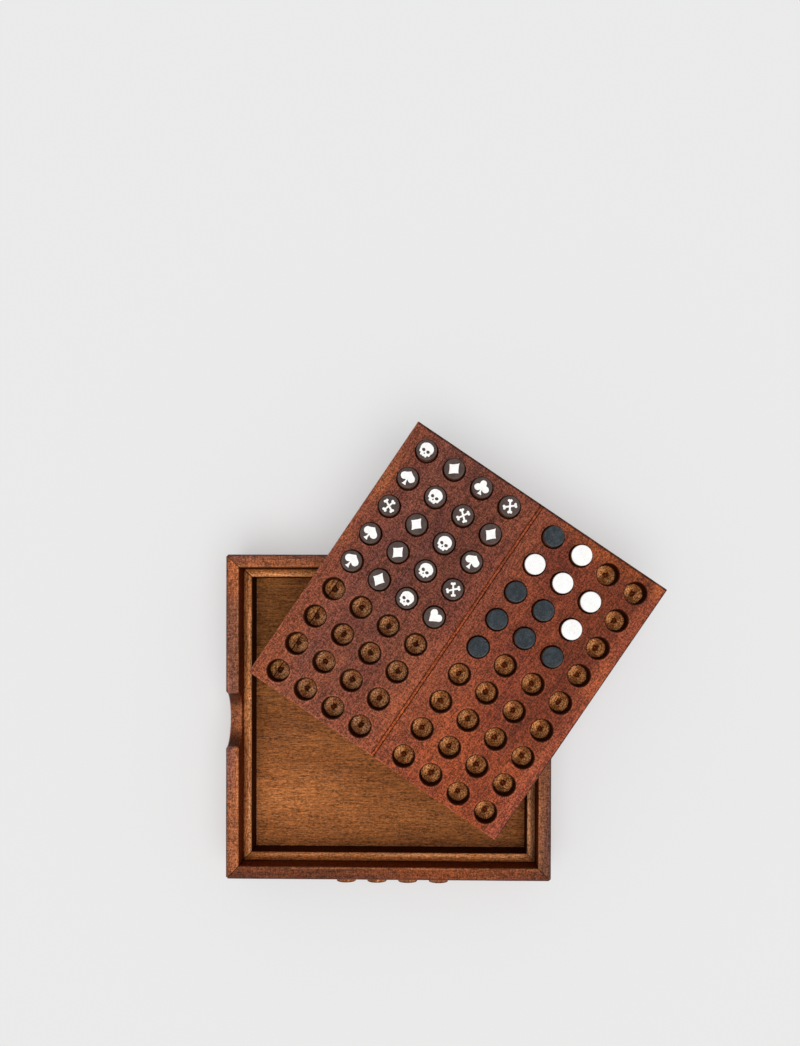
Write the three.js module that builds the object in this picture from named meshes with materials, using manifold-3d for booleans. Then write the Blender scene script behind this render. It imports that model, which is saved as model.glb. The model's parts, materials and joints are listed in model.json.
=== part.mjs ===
// Wooden code-breaking peg game: a mitred tray with an inner ledge moulding, a
// drilled peg board lying turned across the tray's rim, code pegs and scoring
// pegs standing in the board's blind holes, and four secret pegs pushed into
// holes in the tray's front wall.
//
// Millimetres. +Z is up. The origin is the centre of the tray's underside.
// +X runs to the right along the front wall and -Y points out of the front wall.

import * as THREE from 'three';
import { mergeVertices } from 'three/addons/utils/BufferGeometryUtils.js';
import Module from 'manifold-3d';

// ---------------------------------------------------------------- dimensions

// Tray
const TRAY_SIZE = 151.6;        // outside, both ways
const HALF_TRAY = TRAY_SIZE / 2;
const TRAY_HEIGHT = 34;
const WALL_THICKNESS = 6;
const RIM_OUTER_ROUND = 1;      // eased outer arris of the rim
const RIM_INNER_ROUND = 0.7;
const FLOOR_THICKNESS = 4;

// Half-round thumb notch in the left wall's rim
const NOTCH_RADIUS = 12.5;
const NOTCH_CENTRE_Y = -1.5;    // a little nearer the front than the middle of the wall
const NOTCH_SIDES = 40;

// Ledge moulding inside the walls, which carries the board when it is stored
const LEDGE_WIDTH = 4;
const LEDGE_TOP = 21;
const LEDGE_ROUND = 1.4;

const MOULDING_ROUND_SEGMENTS = 3;

// Peg board
const BOARD_WIDTH = 135.8;      // across the columns
const BOARD_LENGTH = 137.4;     // along the columns
const BOARD_THICKNESS = 12.5;
const BOARD_CENTRE = { x: 31.5, y: 40.55 };
const BOARD_TURN = -34.1;       // degrees about +Z, as it lies on the rim
const BOARD_REST_GAP = 0.3;     // clearance above the rim
const BOARD_ARRIS = 0.5;        // chamfer along the left and right edges
const STAVE_GAP = 0.3;          // glue line between the two staves
const STAVE_OFFSET = 0.9;       // glue line to the left of the first column
const SCRIBE_WIDTH = 0.5;       // twin scribed lines between the two fields
const SCRIBE_DEPTH = 0.4;
const SCRIBE_SPACING = 1.4;
const SCRIBE_OVERRUN = 1;       // cutter past each end of the board

// Board holes, in a left field for code pegs and a right field for scoring pegs
const PITCH = 15;
const FIELD_GAP = 24;           // between the last left and the first right column
const ROWS = 9;
const FIELD_COLUMNS = 4;
const GRID_OFFSET_Y = -0.6;
const HOLE_RADIUS = 5.1;
const HOLE_DEPTH = 8.5;
const HOLE_SIDES = 16;

// Pegs
const PEG_RADIUS = 4.75;
const PEG_LENGTH = 13;
const PEG_CHAMFER = 0.4;
const PEG_SIDES = 16;
const PEG_FLOAT = 0.3;          // clearance at the bottom of a peg's hole

// Secret pegs in the front wall. Their holes are drilled through the wall and a
// little way into the ledge moulding behind it.
const SECRET_PEGS = 4;
const SECRET_HEIGHT = 14;
const SECRET_CENTRE_X = 1.5;
const SECRET_PITCH = 14.8;
const SECRET_HOLE_DEPTH = 8.5;  // from the front wall's outer face
const SECRET_HOLE_SIDES = 24;

// Code pegs, row by row from the board's back edge. The symbols are used only
// in the mesh names.
const CODE_ROWS = ['sdcx', 'psxd', 'xdsp', 'pdsx', 'pdsh'];
const SYMBOL_NAMES = {
  s: 'skull',
  d: 'diamond',
  c: 'club',
  x: 'bones',
  p: 'spade',
  h: 'heart',
};

// Scoring pegs in the same rows: b black, w white, - empty
const SCORE_ROWS = ['bw--', 'www-', 'bbw-', 'bbb-', 'b---'];
const SCORE_NAMES = { b: 'black', w: 'white' };

// ----------------------------------------------------------------- materials

const FINISHES = {
  wall: { color: 0x8a5238, roughness: 0.55 },
  ledge: { color: 0x92582f, roughness: 0.5 },
  floor: { color: 0x7a4a25, roughness: 0.6 },
  board: { color: 0x95523a, roughness: 0.5 },
  secret: { color: 0x7c4526, roughness: 0.5 },
  code: { color: 0x4b413d, roughness: 0.6 },
  black: { color: 0x3c464d, roughness: 0.6 },
  white: { color: 0xf4f3f0, roughness: 0.5 },
};

const material = (finish) =>
  new THREE.MeshStandardMaterial({ ...FINISHES[finish], metalness: 0 });

// ------------------------------------------------------------- solid helpers

const WELD_TOLERANCE = 1e-4;

const wasm = await Module();
wasm.setup();

function signedVolume(geometry) {
  const position = geometry.getAttribute('position');
  const index = geometry.getIndex().array;
  const corners = [new THREE.Vector3(), new THREE.Vector3(), new THREE.Vector3()];
  const [first, second, third] = corners;
  let volume = 0;
  for (let i = 0; i < index.length; i += 3) {
    corners.forEach((corner, k) => corner.fromBufferAttribute(position, index[i + k]));
    volume += first.dot(second.cross(third)) / 6;
  }
  return volume;
}

// A welded copy holding positions only, with its faces turned to point out.
function outward(geometry) {
  const copy = geometry.clone();
  for (const name of Object.keys(copy.attributes)) {
    if (name !== 'position') copy.deleteAttribute(name);
  }
  const welded = mergeVertices(copy, WELD_TOLERANCE);
  if (signedVolume(welded) < 0) {
    const index = welded.getIndex().array;
    for (let i = 0; i < index.length; i += 3) {
      [index[i + 1], index[i + 2]] = [index[i + 2], index[i + 1]];
    }
  }
  return welded;
}

function solid(geometry) {
  const welded = outward(geometry);
  return new wasm.Manifold(new wasm.Mesh({
    numProp: 3,
    vertProperties: new Float32Array(welded.getAttribute('position').array),
    triVerts: new Uint32Array(welded.getIndex().array),
  }));
}

function cutAway(geometry, cutters) {
  let body = solid(geometry);
  for (const cutter of cutters) body = body.subtract(solid(cutter));
  const mesh = body.getMesh();
  const result = new THREE.BufferGeometry();
  const positions = new Float32Array(mesh.vertProperties);
  result.setAttribute('position', new THREE.BufferAttribute(positions, 3));
  result.setIndex(new THREE.BufferAttribute(new Uint32Array(mesh.triVerts), 1));
  return result;
}

function part(name, geometry, finish) {
  geometry.computeVertexNormals();
  const mesh = new THREE.Mesh(geometry, material(finish));
  mesh.name = name;
  return mesh;
}

// A cylinder centred on the origin along the given axis.
function rod(radius, length, sides, axis) {
  const geometry = new THREE.CylinderGeometry(radius, radius, length, sides);
  if (axis === 'x') geometry.rotateZ(Math.PI / 2);
  if (axis === 'z') geometry.rotateX(Math.PI / 2);
  return geometry;
}

// ------------------------------------------------------ mitred tray mouldings

// A profile's x is the distance in from the tray's outside face and its y is
// the height. The top corners are rounded; an outer round of 0 leaves it square.
function mouldingProfile({ inset, width, low, high, outerRound, innerRound }) {
  const inner = inset + width;
  const shape = new THREE.Shape();
  shape.moveTo(inset, low);
  shape.lineTo(inner, low);
  shape.lineTo(inner, high - innerRound);
  shape.absarc(inner - innerRound, high - innerRound, innerRound, 0, Math.PI / 2, false);
  shape.lineTo(inset + outerRound, high);
  if (outerRound > 0) {
    shape.absarc(
      inset + outerRound, high - outerRound, outerRound, Math.PI / 2, Math.PI, false);
  }
  shape.closePath();
  return shape;
}

// Places a point by its distance along a side and its distance out from the centre.
const SIDES = {
  back: (along, out, z) => [along, out, z],
  left: (along, out, z) => [-out, along, z],
  right: (along, out, z) => [out, along, z],
  front: (along, out, z) => [along, -out, z],
};

// Runs a profile along one side, its ends drawn back to 45 degree mitre planes.
function mitred(profile, side) {
  const geometry = new THREE.ExtrudeGeometry(profile, {
    depth: 1,
    bevelEnabled: false,
    curveSegments: MOULDING_ROUND_SEGMENTS,
  });
  const position = geometry.getAttribute('position');
  for (let i = 0; i < position.count; i++) {
    const out = HALF_TRAY - position.getX(i);
    const along = position.getZ(i) > 0.5 ? out : -out;
    position.setXYZ(i, ...SIDES[side](along, out, position.getY(i)));
  }
  return geometry;
}

// One moulding on each side of the tray; cutters are listed by side.
function frame(kind, profile, cutters) {
  return Object.keys(SIDES).map((side) => {
    const moulding = mitred(profile, side);
    const geometry = cutters[side] ? cutAway(moulding, cutters[side]) : outward(moulding);
    return part(`${kind}_${side}`, geometry, kind);
  });
}

// ----------------------------------------------------------------------- pegs

// A turned peg standing on z = 0 with both ends lightly chamfered.
function pegGeometry() {
  const endRadius = PEG_RADIUS - PEG_CHAMFER;
  const outline = [ // radius, height
    [0, 0],
    [endRadius, 0],
    [PEG_RADIUS, PEG_CHAMFER],
    [PEG_RADIUS, PEG_LENGTH - PEG_CHAMFER],
    [endRadius, PEG_LENGTH],
    [0, PEG_LENGTH],
  ].map(([radius, height]) => new THREE.Vector2(radius, height));
  return outward(new THREE.LatheGeometry(outline, PEG_SIDES).rotateX(Math.PI / 2));
}

// ----------------------------------------------------------------------- tray

const secretX = Array.from({ length: SECRET_PEGS }, (_, i) =>
  SECRET_CENTRE_X + (i - (SECRET_PEGS - 1) / 2) * SECRET_PITCH);

function floorPanel() {
  const size = (HALF_TRAY - WALL_THICKNESS) * 2;
  const panel = outward(new THREE.BoxGeometry(size, size, FLOOR_THICKNESS));
  const mesh = part('floor_panel', panel, 'floor');
  mesh.position.z = FLOOR_THICKNESS / 2;
  return mesh;
}

// Lies through the front wall, stopping just short of the end of its hole.
function secretPeg(x, i) {
  const peg = part(`secret_peg_${i + 1}`, pegGeometry(), 'secret');
  peg.rotation.x = Math.PI / 2;
  peg.position.set(x, -HALF_TRAY + SECRET_HOLE_DEPTH - PEG_FLOAT, SECRET_HEIGHT);
  return peg;
}

function makeTray() {
  const wallProfile = mouldingProfile({
    inset: 0,
    width: WALL_THICKNESS,
    low: 0,
    high: TRAY_HEIGHT,
    outerRound: RIM_OUTER_ROUND,
    innerRound: RIM_INNER_ROUND,
  });
  const ledgeProfile = mouldingProfile({
    inset: WALL_THICKNESS,
    width: LEDGE_WIDTH,
    low: FLOOR_THICKNESS,
    high: LEDGE_TOP,
    outerRound: 0,
    innerRound: LEDGE_ROUND,
  });
  const notch = rod(NOTCH_RADIUS, WALL_THICKNESS * 3, NOTCH_SIDES, 'x')
    .translate(-HALF_TRAY + WALL_THICKNESS / 2, NOTCH_CENTRE_Y, TRAY_HEIGHT);
  const secretHoles = secretX.map((x) =>
    rod(HOLE_RADIUS, SECRET_HOLE_DEPTH * 2, SECRET_HOLE_SIDES, 'y')
      .translate(x, -HALF_TRAY, SECRET_HEIGHT));

  return new THREE.Group().add(
    ...frame('wall', wallProfile, { left: [notch], front: secretHoles }),
    ...frame('ledge', ledgeProfile, { front: secretHoles }),
    floorPanel(),
    ...secretX.map(secretPeg),
  );
}

// ---------------------------------------------------------------------- board

// The board's own frame has its origin at the centre of its underside.
const gridWidth = 2 * (FIELD_COLUMNS - 1) * PITCH + FIELD_GAP;
const columnX = Array.from({ length: FIELD_COLUMNS * 2 }, (_, column) => {
  const gapExtra = column < FIELD_COLUMNS ? 0 : FIELD_GAP - PITCH;
  return column * PITCH + gapExtra - gridWidth / 2;
});
const rowY = Array.from({ length: ROWS }, (_, row) =>
  ((ROWS - 1) / 2 - row) * PITCH + GRID_OFFSET_Y);

// A plank with its top and bottom arrises eased on its left or right side.
function plank(left, right, easedSide) {
  const leftEase = easedSide === 'left' ? BOARD_ARRIS : 0;
  const rightEase = easedSide === 'right' ? BOARD_ARRIS : 0;
  const easedTop = BOARD_THICKNESS - BOARD_ARRIS;
  const outline = [ // x, height
    [left + leftEase, 0],
    [right - rightEase, 0],
    ...(rightEase ? [[right, BOARD_ARRIS], [right, easedTop]] : []),
    [right - rightEase, BOARD_THICKNESS],
    [left + leftEase, BOARD_THICKNESS],
    ...(leftEase ? [[left, easedTop], [left, BOARD_ARRIS]] : []),
  ].map(([x, height]) => new THREE.Vector2(x, height));
  const shape = new THREE.Shape(outline).closePath();
  return new THREE.ExtrudeGeometry(shape, { depth: BOARD_LENGTH, bevelEnabled: false })
    .translate(0, 0, -BOARD_LENGTH / 2)
    .rotateX(Math.PI / 2);
}

const columnCutters = (x) => rowY.map((y) =>
  rod(HOLE_RADIUS, HOLE_DEPTH * 2, HOLE_SIDES, 'z').translate(x, y, BOARD_THICKNESS));

function scribeCutters() {
  const middle = (columnX[FIELD_COLUMNS - 1] + columnX[FIELD_COLUMNS]) / 2;
  const length = BOARD_LENGTH + 2 * SCRIBE_OVERRUN;
  return [-1, 1].map((side) =>
    new THREE.BoxGeometry(SCRIBE_WIDTH, length, SCRIBE_DEPTH * 2)
      .translate(middle + (side * SCRIBE_SPACING) / 2, 0, BOARD_THICKNESS));
}

// The glue line runs through the first column, so both staves are drilled there.
function boardStaves() {
  const glueLine = columnX[0] - STAVE_OFFSET;
  const edge = plank(-BOARD_WIDTH / 2, glueLine - STAVE_GAP / 2, 'left');
  const main = plank(glueLine + STAVE_GAP / 2, BOARD_WIDTH / 2, 'right');
  const mainCutters = [...columnX.flatMap(columnCutters), ...scribeCutters()];
  return [
    part('board_edge_stave', cutAway(edge, columnCutters(columnX[0])), 'board'),
    part('board_main_panel', cutAway(main, mainCutters), 'board'),
  ];
}

function seatedPeg(name, finish, row, column) {
  const peg = part(name, pegGeometry(), finish);
  peg.position.set(columnX[column], rowY[row], BOARD_THICKNESS - HOLE_DEPTH + PEG_FLOAT);
  return peg;
}

const codePegs = () => CODE_ROWS.flatMap((symbols, row) =>
  [...symbols].map((symbol, column) => {
    const name = `code_peg_row${row + 1}_${column + 1}_${SYMBOL_NAMES[symbol]}`;
    return seatedPeg(name, 'code', row, column);
  }));

const scorePegs = () => SCORE_ROWS.flatMap((marks, row) =>
  [...marks].flatMap((mark, column) => {
    if (mark === '-') return [];
    const colour = SCORE_NAMES[mark];
    const name = `score_peg_row${row + 1}_${column + 1}_${colour}`;
    return [seatedPeg(name, colour, row, FIELD_COLUMNS + column)];
  }));

function makeBoard() {
  const board = new THREE.Group();
  board.position.set(BOARD_CENTRE.x, BOARD_CENTRE.y, TRAY_HEIGHT + BOARD_REST_GAP);
  board.rotation.z = THREE.MathUtils.degToRad(BOARD_TURN);
  return board.add(...boardStaves(), ...codePegs(), ...scorePegs());
}

// ----------------------------------------------------------------------- game

const game = new THREE.Group();
game.name = 'peg_game';
game.add(makeTray(), makeBoard());

export default game;
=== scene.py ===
"""Looks for the wooden code-breaking peg game: tray, peg board, coding pegs and scoring pegs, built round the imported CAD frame.

Every size comes from the frame's own boxes. Shapes are made in mesh code, in millimetres, and written in metres.
"""

import json
import math

import bmesh
import bpy
import numpy as np
from mathutils import Euler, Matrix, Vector
from mathutils.geometry import delaunay_2d_cdt

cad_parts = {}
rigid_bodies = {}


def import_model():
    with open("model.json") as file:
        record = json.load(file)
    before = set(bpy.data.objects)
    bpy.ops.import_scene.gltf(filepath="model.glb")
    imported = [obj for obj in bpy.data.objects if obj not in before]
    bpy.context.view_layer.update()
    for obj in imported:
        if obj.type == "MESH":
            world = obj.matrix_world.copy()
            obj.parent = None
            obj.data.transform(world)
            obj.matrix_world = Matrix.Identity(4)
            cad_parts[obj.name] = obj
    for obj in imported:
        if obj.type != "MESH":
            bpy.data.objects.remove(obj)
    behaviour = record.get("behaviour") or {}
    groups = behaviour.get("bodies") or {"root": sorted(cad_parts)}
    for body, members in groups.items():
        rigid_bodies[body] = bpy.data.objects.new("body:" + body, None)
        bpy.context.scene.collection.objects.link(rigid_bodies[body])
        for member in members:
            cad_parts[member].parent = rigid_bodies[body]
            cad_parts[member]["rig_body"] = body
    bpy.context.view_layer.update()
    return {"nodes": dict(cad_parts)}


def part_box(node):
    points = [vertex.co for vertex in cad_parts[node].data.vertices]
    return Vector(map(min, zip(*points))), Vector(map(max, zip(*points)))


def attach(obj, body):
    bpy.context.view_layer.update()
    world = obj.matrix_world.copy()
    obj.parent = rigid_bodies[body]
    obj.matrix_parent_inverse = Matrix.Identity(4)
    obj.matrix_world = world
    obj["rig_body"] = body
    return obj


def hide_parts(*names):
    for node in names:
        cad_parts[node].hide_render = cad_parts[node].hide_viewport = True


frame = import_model()
MM = 0.001
NODES = frame["nodes"]


# ---------------------------------------------------------------- sizes from the frame

def box_mm(node):
    lo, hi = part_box(node)
    return np.array(lo) * 1000.0, np.array(hi) * 1000.0


def body_of_node(node):
    return NODES[node]["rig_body"]


def nodes_named(start):
    return sorted(n for n in NODES if n.startswith(start))


TRAY_HALF = box_mm("wall_right")[1][0]
WALL_INNER = box_mm("wall_right")[0][0]
WALL_THICKNESS = TRAY_HALF - WALL_INNER
TRAY_HEIGHT = box_mm("wall_back")[1][2]
LEDGE_INNER = box_mm("ledge_back")[0][1]
LEDGE_BOTTOM, LEDGE_TOP = box_mm("ledge_back")[0][2], box_mm("ledge_back")[1][2]
FLOOR_TOP = box_mm("floor_panel")[1][2]

CODE_PEGS = nodes_named("code_peg_row")
SCORE_PEGS = nodes_named("score_peg_row")
SECRET_PEGS = nodes_named("secret_peg_")


def centre_mm(node):
    lo, hi = box_mm(node)
    return (lo + hi) / 2


def named_like(start):
    return [n for n in NODES if n.startswith(start)][0]


row_vector = centre_mm(named_like("code_peg_row1_4")) - centre_mm(named_like("code_peg_row1_1"))
TURN = math.atan2(row_vector[1], row_vector[0])
PITCH = float(np.hypot(row_vector[0], row_vector[1])) / 3.0


def turned(points, angle):
    c, s = math.cos(angle), math.sin(angle)
    return np.stack([points[:, 0] * c - points[:, 1] * s, points[:, 0] * s + points[:, 1] * c], 1)


def board_extent(node):
    co = np.array([v.co for v in NODES[node].data.vertices], float) * 1000.0
    flat = turned(co[:, :2], -TURN)
    return flat.min(0), flat.max(0), co[:, 2].min(), co[:, 2].max()


main_lo, main_hi, BOARD_BOTTOM, BOARD_TOP = board_extent("board_main_panel")
stave_lo, stave_hi, _, _ = board_extent("board_edge_stave")
flat_lo, flat_hi = np.minimum(main_lo, stave_lo), np.maximum(main_hi, stave_hi)
BOARD_MID = turned(((flat_lo + flat_hi) / 2)[None], TURN)[0]
BOARD_W, BOARD_L = flat_hi - flat_lo
BOARD_T = BOARD_TOP - BOARD_BOTTOM
GLUE_X = (main_lo[0] + stave_hi[0]) / 2 - (flat_lo[0] + flat_hi[0]) / 2
peg_flat = turned(np.array([centre_mm(n)[:2] for n in CODE_PEGS + SCORE_PEGS]), -TURN) - (flat_lo + flat_hi) / 2
COLUMN_NEAR = float(np.abs(peg_flat[:, 0]).min())          # distance of the inner columns from the middle
GRID_Y = float(((peg_flat[:, 1] / PITCH + 0.5) % 1.0 - 0.5).mean()) * PITCH   # the grid's small offset along the columns
PEG_LO, PEG_HI = box_mm(CODE_PEGS[0])
PEG_LENGTH = float(PEG_HI[2] - PEG_LO[2])
PEG_RADIUS = float(PEG_HI[0] - PEG_LO[0]) / 2
PEG_TOP = float(PEG_HI[2])
HOLE_RADIUS = PEG_RADIUS + 0.35
HOLE_BOTTOM = float(PEG_LO[2]) - 0.3
HOLE_DEPTH = BOARD_TOP - HOLE_BOTTOM
SCRIBE_X = 0.7
SECRET_FIRST, SECRET_Z = float(centre_mm(SECRET_PEGS[0])[0]), float(centre_mm(SECRET_PEGS[0])[2])
SECRET_STEP = float(centre_mm(SECRET_PEGS[1])[0] - centre_mm(SECRET_PEGS[0])[0])

rng = np.random.default_rng(20240611)


# ---------------------------------------------------------------- node helper

def linear(r, g, b):
    out = []
    for v in (r, g, b):
        v = v / 255.0
        out.append(v / 12.92 if v <= 0.04045 else ((v + 0.055) / 1.055) ** 2.4)
    return tuple(out) + (1.0,)


class Shader:
    """A material built from nodes by plain expressions."""

    def __init__(self, name):
        self.material = bpy.data.materials.new(name)
        self.material.use_nodes = True
        self.tree = self.material.node_tree
        self.tree.nodes.clear()
        self.count = 0

    def node(self, kind, **settings):
        n = self.tree.nodes.new(kind)
        for key, value in settings.items():
            setattr(n, key, value)
        n.location = (180 * (self.count % 14), -220 * (self.count // 14))
        self.count += 1
        return n

    def plug(self, value, socket):
        if isinstance(value, bpy.types.NodeSocket):
            self.tree.links.new(value, socket)
        elif value is not None:
            socket.default_value = value

    def math(self, op, a, b=None, c=None, clamp=False):
        n = self.node("ShaderNodeMath", operation=op, use_clamp=clamp)
        for i, v in enumerate((a, b, c)):
            if v is not None:
                self.plug(v, n.inputs[i])
        return n.outputs[0]

    def add(self, a, b): return self.math("ADD", a, b)
    def sub(self, a, b): return self.math("SUBTRACT", a, b)
    def mul(self, a, b): return self.math("MULTIPLY", a, b)
    def madd(self, a, b, c): return self.math("MULTIPLY_ADD", a, b, c)
    def low(self, a, b): return self.math("MINIMUM", a, b)
    def high(self, a, b): return self.math("MAXIMUM", a, b)
    def absolute(self, a): return self.math("ABSOLUTE", a)

    def vector(self, op, a, b=None, scale=None):
        n = self.node("ShaderNodeVectorMath", operation=op)
        self.plug(a, n.inputs[0])
        if b is not None:
            self.plug(b, n.inputs[1])
        if scale is not None:
            self.plug(scale, n.inputs["Scale"])
        return n.outputs["Value"] if op in ("LENGTH", "DOT_PRODUCT", "DISTANCE") else n.outputs[0]

    def split(self, v):
        n = self.node("ShaderNodeSeparateXYZ")
        self.plug(v, n.inputs[0])
        return n.outputs[0], n.outputs[1], n.outputs[2]

    def join(self, x, y, z):
        n = self.node("ShaderNodeCombineXYZ")
        for i, v in enumerate((x, y, z)):
            self.plug(v, n.inputs[i])
        return n.outputs[0]

    def attribute(self, name):
        return self.node("ShaderNodeAttribute", attribute_name=name).outputs["Vector"]

    def noise(self, v, frequency, detail=2.0, rough=0.5, colour=False, twist=0.0):
        n = self.node("ShaderNodeTexNoise", noise_dimensions="3D")
        self.plug(self.vector("MULTIPLY", v, frequency), n.inputs["Vector"])
        n.inputs["Scale"].default_value = 1.0
        n.inputs["Detail"].default_value = detail
        n.inputs["Roughness"].default_value = rough
        n.inputs["Distortion"].default_value = twist
        return n.outputs["Color"] if colour else n.outputs[0]

    def ramp(self, x, lo, hi, a=0.0, b=1.0, smooth=True):
        n = self.node("ShaderNodeMapRange", interpolation_type="SMOOTHSTEP" if smooth else "LINEAR", clamp=True)
        for i, v in enumerate((x, lo, hi, a, b)):
            self.plug(v, n.inputs[i])
        return n.outputs[0]

    def mix(self, f, a, b, blend="MIX"):
        n = self.node("ShaderNodeMix", data_type="RGBA", blend_type=blend, clamp_factor=True)
        self.plug(f, n.inputs[0])
        self.plug(a, n.inputs[6])
        self.plug(b, n.inputs[7])
        return n.outputs[2]

    def centred(self, x, amount):
        """x about 0.5 becomes amount * (x - 0.5)."""
        return self.madd(x, amount, -0.5 * amount)

    def finish(self, colour, rough, height, bump=0.6, reach=0.12, specular=0.3, coat=0.0, coat_rough=0.35):
        b = self.node("ShaderNodeBump")
        b.inputs["Strength"].default_value = bump
        b.inputs["Distance"].default_value = reach * MM
        self.plug(height, b.inputs["Height"])
        p = self.node("ShaderNodeBsdfPrincipled")
        self.plug(colour, p.inputs["Base Color"])
        self.plug(rough, p.inputs["Roughness"])
        self.plug(specular, p.inputs["Specular IOR Level"])
        self.plug(coat, p.inputs["Coat Weight"])
        self.plug(coat_rough, p.inputs["Coat Roughness"])
        self.plug(b.outputs[0], p.inputs["Normal"])
        o = self.node("ShaderNodeOutputMaterial")
        self.plug(p.outputs[0], o.inputs[0])
        return self.material


def wood_fields(s, figure=0.30, streak=0.30, fibre=0.30, speckle=0.30, ticks=0.12, pores=0.35, specks=0.0, deepest=0.24, wave=3.0,
                fibre_size=(0.30, 1.9, 1.9), speckle_size=(0.9, 1.7, 1.7), tick_size=(1.9, 0.30, 0.30)):
    """The fields every stained wood here shares, from the coordinate that runs along the grain: a brightness factor, the pores and the height.
    The amounts are shares of brightness, about one deviation either way."""
    g = s.attribute("grain")
    warp = s.noise(g, (0.012, 0.040, 0.040), 2.0, 0.5, colour=True)
    warp = s.vector("MULTIPLY", s.vector("SUBTRACT", warp, (0.5, 0.5, 0.5)), (0.0, wave * 2, wave * 2))
    g2 = s.vector("ADD", g, warp)
    band = s.noise(g2, (0.010, 0.16, 0.16), 3.0, 0.55)
    fine_band = s.noise(g2, (0.035, 0.75, 0.75), 3.0, 0.6)
    fibres = s.noise(g2, fibre_size, 3.0, 0.7)
    fleck = s.noise(g2, speckle_size, 3.0, 0.8)
    tick = s.noise(g, tick_size, 2.0, 0.65)
    pore = s.ramp(s.noise(g2, (0.45, 3.2, 3.2), 1.0, 0.5), 0.58, 0.72)
    value = s.add(1.0, s.centred(band, figure * 8))
    value = s.add(value, s.centred(fine_band, streak * 8))
    value = s.add(value, s.centred(fibres, fibre * 8))
    value = s.add(value, s.centred(fleck, speckle * 8))
    value = s.add(value, s.centred(tick, ticks * 8))
    value = s.sub(value, s.mul(pore, pores))
    if specks:
        value = s.add(value, s.mul(s.ramp(s.noise(g, (1.25, 1.9, 1.9), 1.0, 0.5), 0.56, 0.72), specks))
    value = s.low(s.high(value, deepest), 2.2)
    height = s.sub(s.add(s.mul(fibres, 0.55), s.mul(fleck, 0.35)), s.mul(pore, 0.9))
    blotch = s.noise(g, (0.018, 0.040, 0.040), 2.0, 0.55)
    return {"g": g, "g2": g2, "value": value, "height": height, "pore": pore, "blotch": blotch,
            "band": band, "fibres": fibres, "fleck": fleck, "tick": tick}


def paint_scale(s, colour, factor):
    return s.vector("SCALE", colour, scale=factor)


# ---------------------------------------------------------------- materials

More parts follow.
